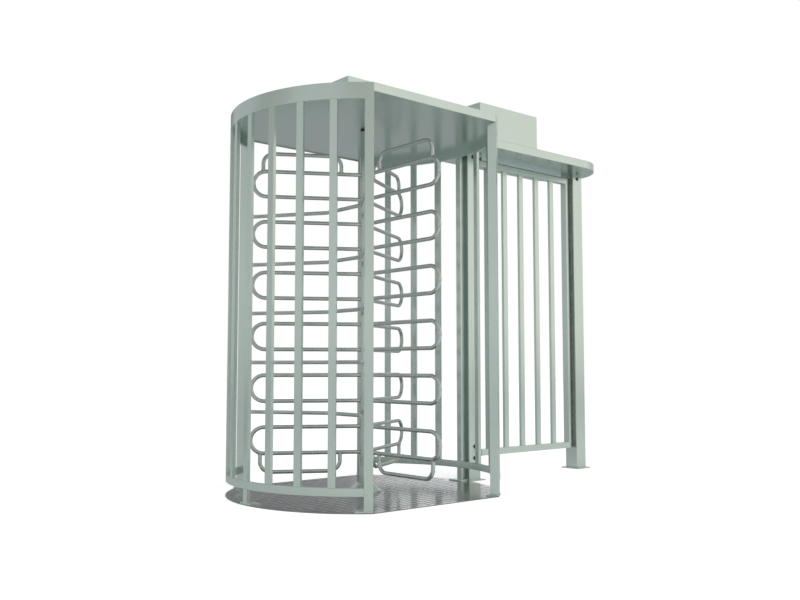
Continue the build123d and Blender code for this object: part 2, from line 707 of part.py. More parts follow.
export_step(rotor_handles.part, "parts/rotor_handles.step")

with BuildPart() as lower_pivot_pin:
    with BuildSketch(Plane.XY.offset(COLUMN_BOTTOM)):
        Circle(PLUG_R)
    extrude(amount=LOWER_PLUG_H)
    with BuildSketch(Plane.XY.offset(SHAFT_BOTTOM)):
        Circle(SHAFT_R)
    extrude(amount=COLUMN_BOTTOM - SHAFT_BOTTOM)
    chamfer(lower_pivot_pin.edges().group_by(Axis.Z)[0], 1.5)
lower_pivot_pin.part.label = "lower_pivot_pin"
export_step(lower_pivot_pin.part, "parts/lower_pivot_pin.step")

with BuildPart() as upper_shaft:
    with BuildSketch(Plane.XY.offset(COLUMN_TOP - UPPER_PLUG_H)):
        Circle(PLUG_R)
    extrude(amount=UPPER_PLUG_H)
    with BuildSketch(Plane.XY.offset(COLUMN_TOP)):
        Circle(SHAFT_R)
    extrude(amount=SHAFT_TOP - COLUMN_TOP)
    chamfer(upper_shaft.edges().group_by(Axis.Z)[-1], 2)
upper_shaft.part.label = "upper_shaft"
export_step(upper_shaft.part, "parts/upper_shaft.step")

# ================================================================ lower bearing
with BuildPart() as lower_bearing_housing:
    with BuildSketch(Plane.XZ):
        with BuildLine():
            Polyline(
                (LOWER_BEARING_R, FLOOR_T),
                (LOWER_HOUSING_R, FLOOR_T),
                (LOWER_HOUSING_R, FLOOR_T + LOWER_HOUSING_FLANGE),
                (LOWER_HOUSING_NECK, LOWER_HOUSING_TOP),
                (LOWER_HOUSING_MOUTH, LOWER_HOUSING_TOP),
                (LOWER_HOUSING_MOUTH, LOWER_SEAT_TOP),
                (LOWER_BEARING_R, LOWER_SEAT_TOP),
                close=True,
            )
        make_face()
    revolve(axis=Axis.Z)
    fillet(lower_bearing_housing.edges().group_by(Axis.Z)[-1].sort_by(SortBy.RADIUS)[-1], 8)
lower_bearing_housing.part.label = "lower_bearing_housing"
export_step(lower_bearing_housing.part, "parts/lower_bearing_housing.step")

with BuildPart() as lower_bearing:
    with BuildSketch(Plane.XY.offset(FLOOR_T)):
        Circle(LOWER_BEARING_R)
    extrude(amount=LOWER_BEARING_TOP - FLOOR_T)
    with BuildSketch(Plane.XY.offset(SHAFT_BOTTOM - RUNNING_GAP)):
        Circle(SHAFT_R + RUNNING_GAP)
    extrude(amount=LOWER_BEARING_TOP, mode=Mode.SUBTRACT)
lower_bearing.part.label = "lower_bearing"
export_step(lower_bearing.part, "parts/lower_bearing.step")

# ================================================================ upper bearing
with BuildPart() as dust_seal:
    with BuildSketch(Plane.XY.offset(COLUMN_TOP + 1)):
        Circle(SEAL_R)
        Circle(SHAFT_R + RUNNING_GAP, mode=Mode.SUBTRACT)
    extrude(amount=CEILING_Z - COLUMN_TOP - 1)
dust_seal.part.label = "dust_seal"
export_step(dust_seal.part, "parts/dust_seal.step")

with BuildPart() as mechanism_base_plate:
    with BuildSketch(Plane.XY.offset(ROOF_TOP)):
        RectangleRounded(PLATE_X, PLATE_Y, 8)
        Circle(HOUSING_SPIGOT_R, mode=Mode.SUBTRACT)
        with Locations((CONDUIT_X[0], CONDUIT_Y)):
            Circle(GLAND_R, mode=Mode.SUBTRACT)
    extrude(amount=PLATE_T)
mechanism_base_plate.part.label = "mechanism_base_plate"
export_step(mechanism_base_plate.part, "parts/mechanism_base_plate.step")

with BuildPart() as upper_bearing_housing:
    with BuildSketch(Plane.XZ):
        with BuildLine():
            Polyline(
                (HOUSING_BORE_R, ROOF_TOP - SHEET),
                (HOUSING_SPIGOT_R, ROOF_TOP - SHEET),
                (HOUSING_SPIGOT_R, PLATE_TOP),
                (HOUSING_FLANGE_R, PLATE_TOP),
                (HOUSING_FLANGE_R, HOUSING_FLANGE_TOP),
                (HOUSING_SHELL_R, HOUSING_FLANGE_TOP),
                (HOUSING_SHELL_R, HOUSING_TOP),
                (BEARING_R, HOUSING_TOP),
                (BEARING_R, HOUSING_SEAT_Z),
                (HOUSING_BORE_R, HOUSING_SEAT_Z),
                close=True,
            )
        make_face()
    revolve(axis=Axis.Z)
upper_bearing_housing.part.label = "upper_bearing_housing"
export_step(upper_bearing_housing.part, "parts/upper_bearing_housing.step")

with BuildPart() as upper_bearing:
    with BuildSketch(Plane.XY.offset(HOUSING_SEAT_Z)):
        Circle(BEARING_R)
        Circle(SHAFT_R + RUNNING_GAP, mode=Mode.SUBTRACT)
    extrude(amount=BEARING_H)
upper_bearing.part.label = "upper_bearing"
export_step(upper_bearing.part, "parts/upper_bearing.step")

with BuildPart() as mechanism_bolts:
    with BuildSketch(Plane.XY.offset(HOUSING_FLANGE_TOP)):
        with PolarLocations(HOUSING_BOLT_R, 4, 0):
            RegularPolygon(7, 6)
    extrude(amount=5)
    with BuildSketch(Plane.XY.offset(PLATE_TOP + DAMPER_FOOT_T)):
        with Locations((DAMPER_X, 0)):
            with PolarLocations(DAMPER_R + 14, 4, 45):
                RegularPolygon(6, 6)
    extrude(amount=4)
    with BuildSketch(Plane.XY.offset(STATOR_Z)):
        with GridLocations(2 * BRAKE_LEG, 2 * BRAKE_LEG, 2, 2):
            RegularPolygon(6, 6)
    extrude(amount=4)
mechanism_bolts.part.label = "mechanism_bolts"
export_step(mechanism_bolts.part, "parts/mechanism_bolts.step")

# ================================================================ electromagnetic brake
with BuildPart() as brake_bracket:
    with BuildSketch(Plane.XY.offset(BRAKE_PLATE_Z)):
        RectangleRounded(2 * BRAKE_LEG + 20, 2 * BRAKE_LEG + 20, 8)
        Circle(HUB_R + 1, mode=Mode.SUBTRACT)
        with Locations((SENSOR_X, -SENSOR_Y), (SENSOR_X, SENSOR_Y)):
            Circle(SENSOR_R, mode=Mode.SUBTRACT)
    extrude(amount=BRAKE_PLATE_T)
    with BuildSketch(Plane.XY.offset(PLATE_TOP)):
        with GridLocations(2 * BRAKE_LEG, 2 * BRAKE_LEG, 2, 2):
            Circle(BRAKE_LEG_R)
    extrude(amount=BRAKE_PLATE_Z - PLATE_TOP)
brake_bracket.part.label = "brake_bracket"
export_step(brake_bracket.part, "parts/brake_bracket.step")

with BuildPart() as brake_stator:
    with BuildSketch(Plane.XY.offset(STATOR_Z)):
        Circle(BRAKE_R)
        Circle(BRAKE_BORE_R, mode=Mode.SUBTRACT)
    extrude(amount=STATOR_TOP - STATOR_Z)
    with BuildSketch(Plane.XY.offset(STATOR_TOP - 1)):
        Circle(COIL_R[1])
        Circle(COIL_R[0], mode=Mode.SUBTRACT)
    extrude(amount=1, mode=Mode.SUBTRACT)
brake_stator.part.label = "brake_stator"
export_step(brake_stator.part, "parts/brake_stator.step")

with BuildPart() as brake_armature:
    with BuildSketch(Plane.XY.offset(ARMATURE_Z)):
        Circle(BRAKE_R)
        Circle(ARMATURE_BORE_R, mode=Mode.SUBTRACT)
    extrude(amount=ARMATURE_T)
brake_armature.part.label = "brake_armature"
export_step(brake_armature.part, "parts/brake_armature.step")

with BuildPart() as brake_hub:
    with BuildSketch(Plane.XY.offset(HUB_BOTTOM)):
        Circle(HUB_R)
        Circle(SHAFT_R, mode=Mode.SUBTRACT)
    extrude(amount=HUB_FLANGE_Z - HUB_BOTTOM)
    with BuildSketch(Plane.XY.offset(HUB_FLANGE_Z)):
        Circle(HUB_FLANGE_R)
        Circle(SHAFT_R, mode=Mode.SUBTRACT)
        with PolarLocations(36, 3):
            Circle(6, mode=Mode.SUBTRACT)
    extrude(amount=HUB_FLANGE_T)
brake_hub.part.label = "brake_hub"
export_step(brake_hub.part, "parts/brake_hub.step")

# ================================================================ damper drive
with BuildPart() as drive_pulley:
    with BuildSketch(Plane.XY.offset(PULLEY_Z)):
        Circle(DRIVE_PULLEY_R)
    extrude(amount=PULLEY_H)
    for z in (PULLEY_Z - PULLEY_RIM_T, PULLEY_Z + PULLEY_H):
        with BuildSketch(Plane.XY.offset(z)):
            Circle(DRIVE_PULLEY_R + PULLEY_RIM)
        extrude(amount=PULLEY_RIM_T)
    with Locations((0, 0, PULLEY_Z)):
        Cylinder(SHAFT_R, 60, mode=Mode.SUBTRACT)
drive_pulley.part.label = "drive_pulley"
export_step(drive_pulley.part, "parts/drive_pulley.step")

with BuildPart() as damper_body:
    with BuildSketch(Plane.XY.offset(PLATE_TOP)):
        with Locations((DAMPER_X, 0)):
            RectangleRounded(DAMPER_FOOT, DAMPER_FOOT, 6)
    extrude(amount=DAMPER_FOOT_T)
    with BuildSketch(Plane.XY.offset(PLATE_TOP + DAMPER_FOOT_T)):
        with Locations((DAMPER_X, 0)):
            Circle(DAMPER_R)
    extrude(amount=DAMPER_TOP - PLATE_TOP - DAMPER_FOOT_T)
    fillet(damper_body.edges().group_by(Axis.Z)[-1], 3)
    with Locations((DAMPER_X, 0, DAMPER_TOP)):
        Cylinder(DAMPER_SHAFT_R + RUNNING_GAP, 2 * DAMPER_SHAFT_DEPTH + 2, mode=Mode.SUBTRACT)
damper_body.part.label = "damper_body"
export_step(damper_body.part, "parts/damper_body.step")

with BuildPart() as damper_pulley:
    shaft_low = DAMPER_TOP - DAMPER_SHAFT_DEPTH
    with BuildSketch(Plane.XY.offset(shaft_low)):
        with Locations((DAMPER_X, 0)):
            Circle(DAMPER_SHAFT_R)
    extrude(amount=PULLEY_Z + PULLEY_H + 6 - shaft_low)
    with BuildSketch(Plane.XY.offset(PULLEY_Z)):
        with Locations((DAMPER_X, 0)):
            Circle(DAMPER_PULLEY_R)
    extrude(amount=PULLEY_H)
    for z in (PULLEY_Z - PULLEY_RIM_T, PULLEY_Z + PULLEY_H):
        with BuildSketch(Plane.XY.offset(z)):
            with Locations((DAMPER_X, 0)):
                Circle(DAMPER_PULLEY_R + PULLEY_RIM)
        extrude(amount=PULLEY_RIM_T)
damper_pulley.part.label = "damper_pulley"
export_step(damper_pulley.part, "parts/damper_pulley.step")


def belt_plan(growth):
    """Outline of a belt run, the given distance outside both pulleys, in the open sketch."""
    Circle(DRIVE_PULLEY_R + growth)
    with Locations((DAMPER_X, 0)):
        Circle(DAMPER_PULLEY_R + growth)
    make_hull()


with BuildPart() as drive_belt:
    with BuildSketch(Plane.XY.offset(PULLEY_Z + (PULLEY_H - BELT_H) / 2)):
        belt_plan(RUNNING_GAP + BELT_T)
    extrude(amount=BELT_H)
    with BuildSketch(Plane.XY.offset(PULLEY_Z)):
        belt_plan(RUNNING_GAP)
    extrude(amount=PULLEY_H, mode=Mode.SUBTRACT)
drive_belt.part.label = "drive_belt"
export_step(drive_belt.part, "parts/drive_belt.step")

# ================================================================ passage counting
with BuildPart() as index_disc:
    with BuildSketch(Plane.XY.offset(DISC_Z)):
        Circle(DISC_R)
        Circle(SHAFT_R, mode=Mode.SUBTRACT)
        with PolarLocations(DISC_R - 8, 3, 60):
            Rectangle(24, 12, mode=Mode.SUBTRACT)
    extrude(amount=DISC_T)
    with BuildSketch(Plane.XY.offset(DISC_Z + DISC_T)):
        Circle(DISC_HUB_R)
        Circle(SHAFT_R, mode=Mode.SUBTRACT)
    extrude(amount=DISC_HUB_H)
index_disc.part.label = "index_disc"
export_step(index_disc.part, "parts/index_disc.step")

with BuildPart() as count_sensors:
    with BuildSketch(Plane.XY.offset(DISC_Z - SENSOR_GAP - SENSOR_H)):
        with Locations((SENSOR_X, -SENSOR_Y), (SENSOR_X, SENSOR_Y)):
            Circle(SENSOR_R)
    extrude(amount=SENSOR_H)
count_sensors.part.label = "count_sensors"
export_step(count_sensors.part, "parts/count_sensors.step")

with BuildPart() as signal_conduit:
    with BuildLine(Plane.XZ.offset(-CONDUIT_Y)) as conduit_path:
        FilletPolyline(
            (CONDUIT_X[0], CONDUIT_TOP),
            (CONDUIT_X[0], CONDUIT_LOW),
            (CONDUIT_X[1], CONDUIT_LOW),
            (CONDUIT_X[1], CONDUIT_TOP),
            radius=CONDUIT_BEND,
        )
    with BuildSketch(Plane(origin=(CONDUIT_X[0], CONDUIT_Y, CONDUIT_TOP), z_dir=(0, 0, -1))):
        Circle(CONDUIT_R)
        Circle(CONDUIT_R - CONDUIT_WALL, mode=Mode.SUBTRACT)
    sweep(path=conduit_path.wire())
signal_conduit.part.label = "signal_conduit"
export_step(signal_conduit.part, "parts/signal_conduit.step")


def sheet_cover(x0, x1, low, high):
    """Five-sided sheet cover, open below, in the open part."""
    with Locations(((x0 + x1) / 2, 0, (low + high) / 2)):
        Box(x1 - x0, 2 * HEADER_HALF, high - low)
    with Locations(((x0 + x1) / 2, 0, (low + high) / 2 - SHEET)):
        Box(x1 - x0 - 2 * SHEET, 2 * HEADER_HALF - 2 * SHEET, high - low, mode=Mode.SUBTRACT)


# ================================================================ covers
with BuildPart() as mechanism_cover:
    sheet_cover(-COVER_HALF_X, COVER_HALF_X, ROOF_TOP, COVER_TOP)
mechanism_cover.part.label = "mechanism_cover"
export_step(mechanism_cover.part, "parts/mechanism_cover.step")

with BuildPart() as cabinet_cover:
    sheet_cover(CABINET_X0, CABINET_X1, ROOF_TOP, CABINET_TOP)
cabinet_cover.part.label = "cabinet_cover"
export_step(cabinet_cover.part, "parts/cabinet_cover.step")

with BuildPart() as cover_screws:
    faces = ((-COVER_HALF_X, -1), (COVER_HALF_X, 1), (CABINET_X0, -1), (CABINET_X1, 1))
    for x, outward in faces:
        with BuildSketch(Plane(origin=(x, 0, ROOF_TOP + SCREW_Z), z_dir=(outward, 0, 0))):
            with Locations((0, -SCREW_Y), (0, SCREW_Y)):
                Circle(SCREW_R)
        extrude(amount=3)
cover_screws.part.label = "cover_screws"
export_step(cover_screws.part, "parts/cover_screws.step")

# ================================================================ electronics
with BuildPart() as cabinet_base_tray:
    with BuildSketch(Plane.XY.offset(ROOF_TOP)):
        with Locations(((CABINET_X0 + CABINET_X1) / 2, 0)):
            Rectangle(CABINET_X1 - CABINET_X0 - 4 * SHEET, 2 * HEADER_HALF - 4 * SHEET)
        with Locations((HINGE_POST_X, 0)):
            Circle(CABLE_PASS_R, mode=Mode.SUBTRACT)
        with Locations((CONDUIT_X[1], CONDUIT_Y)):
            Circle(GLAND_R, mode=Mode.SUBTRACT)
    extrude(amount=SHEET)
cabinet_base_tray.part.label = "cabinet_base_tray"
export_step(cabinet_base_tray.part, "parts/cabinet_base_tray.step")

spacer_h = 10
with BuildPart() as controller_board:
    with BuildSketch(Plane.XY.offset(TRAY_TOP + spacer_h)):
        with Locations(BOARD_AT):
            Rectangle(BOARD[0], BOARD[1])
    extrude(amount=BOARD[2])
    with BuildSketch(Plane.XY.offset(TRAY_TOP)):
        with Locations(BOARD_AT):
            with GridLocations(BOARD[0] - 20, BOARD[1] - 20, 2, 2):
                Circle(4)
    extrude(amount=spacer_h)
    # two relays and the terminal strip
    with BuildSketch(Plane.XY.offset(TRAY_TOP + spacer_h + BOARD[2])):
        with Locations(BOARD_AT):
            with Locations((-50, 20), (40, -20)):
                Rectangle(36, 36)
            with Locations((0, 60)):
                Rectangle(180, 12)
    extrude(amount=9)
controller_board.part.label = "controller_board"
export_step(controller_board.part, "parts/controller_board.step")

with BuildPart() as power_supply:
    with Locations((*SUPPLY_AT, TRAY_TOP + SUPPLY[2] / 2)):
        Box(*SUPPLY)
    chamfer(power_supply.edges().group_by(Axis.Z)[-1], 2)
power_supply.part.label = "power_supply"
export_step(power_supply.part, "parts/power_supply.step")
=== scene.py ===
"""Looks for the full-height turnstile: materials, tread plate, welds, screws, studio and camera.

Metres, in the CAD model's frame: origin on the rotor's axis at floor level, +Z up, +X along the
header towards the service gate, Y along the walkway.
"""

import json
import math

import bpy
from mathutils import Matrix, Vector


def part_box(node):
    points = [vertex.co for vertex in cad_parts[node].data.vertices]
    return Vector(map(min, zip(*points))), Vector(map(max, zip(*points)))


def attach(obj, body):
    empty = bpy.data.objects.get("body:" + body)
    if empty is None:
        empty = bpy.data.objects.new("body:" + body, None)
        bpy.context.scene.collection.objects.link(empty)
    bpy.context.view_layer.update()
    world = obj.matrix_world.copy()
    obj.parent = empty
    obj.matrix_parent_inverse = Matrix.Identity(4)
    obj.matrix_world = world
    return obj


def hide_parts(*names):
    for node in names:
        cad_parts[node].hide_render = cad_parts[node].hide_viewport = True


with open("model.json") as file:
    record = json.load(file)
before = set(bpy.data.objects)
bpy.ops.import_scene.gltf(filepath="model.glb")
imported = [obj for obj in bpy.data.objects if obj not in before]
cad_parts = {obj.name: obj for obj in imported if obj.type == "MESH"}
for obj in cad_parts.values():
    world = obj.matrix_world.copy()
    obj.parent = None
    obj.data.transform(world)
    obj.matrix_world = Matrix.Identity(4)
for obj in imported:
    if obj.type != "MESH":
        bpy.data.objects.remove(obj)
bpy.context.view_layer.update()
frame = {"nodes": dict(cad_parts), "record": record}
NODES = frame["nodes"]
MM = 0.001

# ---------------------------------------------------------------- places taken from the frame
FLOOR_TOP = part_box("floor_plate")[1].z
CAGE_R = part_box("floor_plate")[1].x
CAGE_HALF_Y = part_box("floor_plate")[1].y
COLUMN_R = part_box("rotor_column")[1].x


# ================================================================ node helpers
class Graph:
    """Small wrapper that adds and links shader nodes in one node tree."""

    def __init__(self, tree):
        self.tree = tree
        self.tree.nodes.clear()

    def add(self, kind, inputs=None, **settings):
        node = self.tree.nodes.new(kind)
        for name, value in settings.items():
            setattr(node, name, value)
        for key, value in (inputs or {}).items():
            self.feed(node.inputs[key], value)
        return node

    def feed(self, socket, value):
        if isinstance(value, bpy.types.NodeSocket):
            self.tree.links.new(value, socket)
        else:
            socket.default_value = value

    def math(self, operation, a, b=0.0, c=0.0):
        node = self.add("ShaderNodeMath", {0: a, 1: b, 2: c}, operation=operation)
        return node.outputs[0]

    def remap(self, value, low, high, to_low, to_high):
        node = self.add("ShaderNodeMapRange", {0: value, 1: low, 2: high, 3: to_low, 4: to_high})
        return node.outputs[0]

    def mix(self, factor, a, b, blend="MIX"):
        node = self.add("ShaderNodeMix", data_type="RGBA", blend_type=blend)
        self.feed(node.inputs[0], factor)
        self.feed(node.inputs[6], a)
        self.feed(node.inputs[7], b)
        return node.outputs[2]

    def tint(self, colour, tone):
        """The colour, darkened or lightened by the tone."""
        shade = self.add("ShaderNodeCombineColor", {0: tone, 1: tone, 2: tone}).outputs[0]
        return self.mix(1.0, (*colour, 1), shade, "MULTIPLY")

    def noise(self, vector, scale, detail=2.0, rough=0.5):
        inputs = {"Vector": vector, "Scale": scale, "Detail": detail, "Roughness": rough}
        return self.add("ShaderNodeTexNoise", inputs).outputs["Fac"]

    def stretched(self, vector, x, y, z):
        node = self.add("ShaderNodeMapping", {"Vector": vector, "Scale": (x, y, z)})
        return node.outputs[0]

    def ramp(self, value, stops, mode="B_SPLINE"):
        node = self.add("ShaderNodeValToRGB", {0: value})
        node.color_ramp.interpolation = mode
        elements = node.color_ramp.elements
        while len(elements) < len(stops):
            elements.new(0.5)
        for element, (place, colour) in zip(elements, stops):
            element.position = place
            element.color = colour if len(colour) == 4 else (*colour, 1)
        return node.outputs[0]


def scaled(colour, factor):
    return (*[c * factor for c in colour[:3]], 1)


def new_material(name):
    material = bpy.data.materials.new(name)
    material.use_nodes = True
    return material, Graph(material.node_tree)


def surface_noise(graph, strength, scale, distance=0.00005):
    """Fine bump in object space, for powder coat, castings and rubber."""
    place = graph.add("ShaderNodeTexCoord").outputs["Object"]
    height = graph.noise(place, scale, 3.0, 0.6)
    bump = graph.add("ShaderNodeBump", {"Strength": strength, "Distance": distance, "Height": height})
    return bump.outputs[0]


def finish_material(graph, **inputs):
    shader = graph.add("ShaderNodeBsdfPrincipled", {k.replace("_", " "): v for k, v in inputs.items()})
    graph.add("ShaderNodeOutputMaterial", {"Surface": shader.outputs[0]})
    return shader


# ================================================================ materials
# Noise scales: soft clouds, fine flecks, faint vertical drips, orange peel and brushed grain
CLOUD_SCALE = 3.5
FLECK_SCALE = 900.0
DRIP_SCALE = (26.0, 26.0, 1.3)
PEEL_SCALE = 420.0
GLOSS_SCALE = 6.0
GRAIN_SCALE = 22.0
RUBBED_LIFT = 1.25


def coated_metal(name, colour, metal, rough, cloud=0.05, speck=0.05, peel=0.25, uneven=0.04, rub=0.5):
    """Satin coating: soft large clouds, fine flecks, orange peel and lighter rubbed edges."""
    material, g = new_material(name)
    place = g.add("ShaderNodeTexCoord").outputs["Object"]
    clouds = g.noise(place, CLOUD_SCALE, 4.0)
    flecks = g.noise(place, FLECK_SCALE, 2.0)
    drips = g.noise(g.stretched(place, *DRIP_SCALE), 1.0, 3.0)
    tone = g.remap(clouds, 0.25, 0.75, 1 - cloud, 1 + cloud)
    tone = g.math("MULTIPLY", tone, g.remap(flecks, 0.2, 0.8, 1 - speck, 1 + speck))
    tone = g.math("MULTIPLY", tone, g.remap(drips, 0.3, 0.7, 1 - cloud / 2, 1 + cloud / 2))
    tinted = g.tint(colour, tone)
    bare_edge = g.add("ShaderNodeNewGeometry").outputs["Pointiness"]
    on_edge = g.remap(bare_edge, 0.53, 0.6, 0.0, 1.0)
    worn = g.math("MULTIPLY", on_edge, g.remap(clouds, 0.45, 0.6, 0.0, rub))
    base = g.mix(worn, tinted, scaled(colour, RUBBED_LIFT))
    patchy = g.noise(place, GLOSS_SCALE, 3.0)
    gloss = g.math("ADD", rough, g.remap(patchy, 0.3, 0.7, -uneven, uneven))
    finish_material(
        g,
        Base_Color=base,
        Metallic=metal,
        Roughness=gloss,
        Normal=surface_noise(g, peel, PEEL_SCALE),
    )
    return material


def brushed_metal(name, colour, rough, along=(1, 1, 60), metal=1.0, streak=0.08, painted_edge_shade=0.0):
    """Bare satin metal: streaks across the given scales, with painted shade darkening the grazing edges."""
    material, g = new_material(name)
    place = g.add("ShaderNodeTexCoord").outputs["Object"]
    grain = g.noise(g.stretched(place, *along), GRAIN_SCALE, 6.0, 0.65)
    clouds = g.noise(place, 5.0, 3.0)
    tone = g.remap(grain, 0.3, 0.7, 1 - streak, 1 + streak)
    tone = g.math("MULTIPLY", tone, g.remap(clouds, 0.3, 0.7, 0.96, 1.04))
    # Painted shade: the colour darkens towards the grazing edges, in place of the dark reflections along a
    # tube's rims.
    facing = g.add("ShaderNodeLayerWeight", {"Blend": 0.5}).outputs["Facing"]
    tone = g.math("MULTIPLY", tone, g.remap(facing, 0.35, 1.0, 1.0, 1 - painted_edge_shade))
    base = g.tint(colour, tone)
    bump = g.add("ShaderNodeBump", {"Strength": 0.12, "Distance": 0.00004, "Height": grain})
    gloss = g.math("ADD", rough, g.remap(grain, 0.3, 0.7, -0.05, 0.06))
    finish_material(g, Base_Color=base, Metallic=metal, Roughness=gloss, Normal=bump.outputs[0])
    return material


# How much darker the dirt is than the plate, and how much lighter the painted highlight makes the tops of the
# lozenges
TREAD_DULL = 0.62
TREAD_TOP_HIGHLIGHT = 1.14


def tread_metal(name, colour):
    """Rolled floor plate: grey steel, with a painted highlight on the tops of the lozenges and dull with dirt
    in between.
    """
    material, g = new_material(name)
    place = g.add("ShaderNodeTexCoord").outputs["Object"]
    height = g.add("ShaderNodeSeparateXYZ", {0: place}).outputs[2]
    raised = g.remap(height, FLOOR_TOP + 0.0002, FLOOR_TOP + 0.0010, 0.0, 1.0)
    scuffs = g.noise(g.stretched(place, 3.0, 12.0, 1.0), 9.0, 4.0, 0.6)
    dirt = g.noise(place, 4.0, 5.0)
    dirty = g.mix(g.remap(dirt, 0.35, 0.65, 0.2, 0.8), (*colour, 1), scaled(colour, TREAD_DULL))
    # Painted highlight: the raised tops of the lozenges are lightened, in place of the light they catch.
    base = g.mix(raised, dirty, scaled(colour, TREAD_TOP_HIGHLIGHT))
    gloss = g.remap(scuffs, 0.3, 0.7, 0.13, 0.18)
    bump = g.add("ShaderNodeBump", {"Strength": 0.1, "Distance": 0.00003, "Height": scuffs})
    finish_material(g, Base_Color=base, Metallic=0.9, Roughness=gloss, Normal=bump.outputs[0])
    return material


def rubber(name, colour):
    material, g = new_material(name)
    place = g.add("ShaderNodeTexCoord").outputs["Object"]
    dust = g.noise(place, 35.0, 5.0)
    base = g.mix(g.remap(dust, 0.4, 0.7, 0.0, 0.35), (*colour, 1), scaled(colour, 2.6))
    finish_material(
        g, Base_Color=base, Roughness=g.remap(dust, 0.3, 0.7, 0.62, 0.82), Normal=surface_noise(g, 0.5, 700.0)
    )
    return material


def laminate(name, colour):
    """Circuit board: lacquer over a faint track pattern."""
    material, g = new_material(name)
    place = g.add("ShaderNodeTexCoord").outputs["Object"]
    board = {"Color1": (*colour, 1), "Color2": scaled(colour, 1.2), "Mortar": scaled(colour, 2.2)}
    tracks = g.add("ShaderNodeTexBrick", {"Vector": place, "Scale": 60.0, "Mortar Size": 0.06, **board})
    finish_material(g, Base_Color=tracks.outputs[0], Roughness=0.35, Coat_Weight=0.5)
    return material


# Cloud, speck, peel, uneven gloss and edge rub of each satin finish
CAGE_FINISH = (0.012, 0.008, 0.02, 0.008, 0.1)
STRIP_FINISH = (0.02, 0.02, 0.05, 0.02, 0.1)
CASE_FINISH = (0.03, 0.03, 0.1, 0.02, 0.2)
BOLT_FINISH = (0.06, 0.05, 0.1, 0.04, 0.5)
JAMB_FINISH = (0.03, 0.02, 0.05, 0.02, 0.1)

MATERIALS = {
    "tread_plate": tread_metal("tread_plate", (0.375, 0.380, 0.380)),
    "cage_paint": coated_metal("cage_paint", (0.585, 0.68, 0.632), 0.88, 0.24, *CAGE_FINISH),
    "rotor_tube": brushed_metal("rotor_tube", (0.57, 0.62, 0.59), 0.20, (12, 12, 12), 0.92, 0.02, 0.25),
    "structural_steel": coated_metal("structural_steel", (0.40, 0.41, 0.42), 0.8, 0.45, 0.16, 0.1),
    "machined_steel": brushed_metal("machined_steel", (0.55, 0.56, 0.57), 0.30, (4, 4, 60)),
    "cast_housing": coated_metal("cast_housing", (0.12, 0.14, 0.16), 0.1, 0.5, peel=0.8),
    "bronze": brushed_metal("bronze", (0.60, 0.42, 0.20), 0.32, (4, 4, 50)),
    "pulley_alloy": brushed_metal("pulley_alloy", (0.72, 0.73, 0.74), 0.30, (5, 5, 80)),
    "brake_black": coated_metal("brake_black", (0.085, 0.10, 0.095), 0.55, 0.42, peel=0.3),
    "black_rubber": rubber("black_rubber", (0.018, 0.018, 0.019)),
    "board_green": laminate("board_green", (0.02, 0.13, 0.06)),
    "supply_case": brushed_metal("supply_case", (0.66, 0.67, 0.68), 0.36, (60, 4, 4)),
}
SLOT_OF = {part["node"]: part["material_slot"] for part in frame["record"]["subparts"]}
# Nodes that look different from the rest of their material slot; the head strip, lock housing and stop bar
# are recoloured copies of the cage paint that carry a painted reflection or painted shade
OWN_LOOKS = {
    "gate_buffer_strip": rubber("seal_rubber", (0.14, 0.155, 0.15)),
    # Painted reflection: a lighter, bluer copy of the cage paint, in place of the sky that the strip's face
    # reflects.
    "gate_head_strip": coated_metal("strip_painted_reflection", (0.68, 0.78, 0.80), 0.85, 0.28, *STRIP_FINISH),
    # Painted shade: the cage paint at half brightness, for the housing in the dark recess under the header.
    "gate_lock_housing": coated_metal("lock_case_painted_shade", (0.30, 0.34, 0.32), 0.6, 0.36, *CASE_FINISH),
    "post_cross_bolts": coated_metal("blackened_bolt", (0.09, 0.10, 0.10), 0.7, 0.38, *BOLT_FINISH),
    # Painted shade: the cage paint darkened, for the stop bar in the shaded gap between the leaf and the
    # latch post.
    "gate_stop_bar": coated_metal("jamb_painted_shade", (0.36, 0.41, 0.38), 0.8, 0.35, *JAMB_FINISH),
}


def paint_cad_nodes():
    for name, node in NODES.items():
        node.data.materials.clear()
        node.data.materials.append(OWN_LOOKS.get(name, MATERIALS[SLOT_OF[name]]))


# ================================================================ softened edges on the CAD nodes
# Edge radius in millimetres, and the nodes that have it
EDGE_RADII = {
    2.2: (
        "left_guard_top_band", "right_guard_top_band", "left_guard_bottom_ring", "right_guard_bottom_ring",
        "gate_lock_housing", "power_supply",
    ),
    1.2: (
        "guard_foot_plates", "gate_post_base_plates", "lower_hinge_bracket", "upper_hinge_plate",
        "gate_stop_bar", "floor_plate", "mechanism_base_plate", "upper_bearing_housing", "damper_body",
    ),
    0.9: (
        "left_guard_bars", "right_guard_bars", "left_guard_end_posts", "right_guard_end_posts",
        "gate_posts", "gate_frame", "gate_bars",
    ),
    0.7: (
        "roof_sheet", "header_tray", "header_lid", "gate_head_strip", "mechanism_cover", "cabinet_cover",
        "cabinet_base_tray", "ceiling_panel", "brake_bracket", "brake_hub", "drive_pulley",
        "damper_pulley", "index_disc", "brake_armature", "brake_stator",
    ),
}
WELD_REACH = 0.02 * MM
SHARP_ANGLE = math.radians(40)


def soften_edges(node, radius):
    """Weld the CAD facets, round the sharp edges and shade the flat faces flat."""
    weld = node.modifiers.new("weld", "WELD")
    weld.merge_threshold = WELD_REACH
    bevel = node.modifiers.new("edge", "BEVEL")
    bevel.width = radius * MM
    bevel.segments = 2
    bevel.limit_method = "ANGLE"
    bevel.angle_limit = SHARP_ANGLE
    bevel.miter_outer = "MITER_ARC"
    bevel.use_clamp_overlap = True
    normals = node.modifiers.new("normals", "WEIGHTED_NORMAL")
    normals.keep_sharp = False
    normals.weight = 90


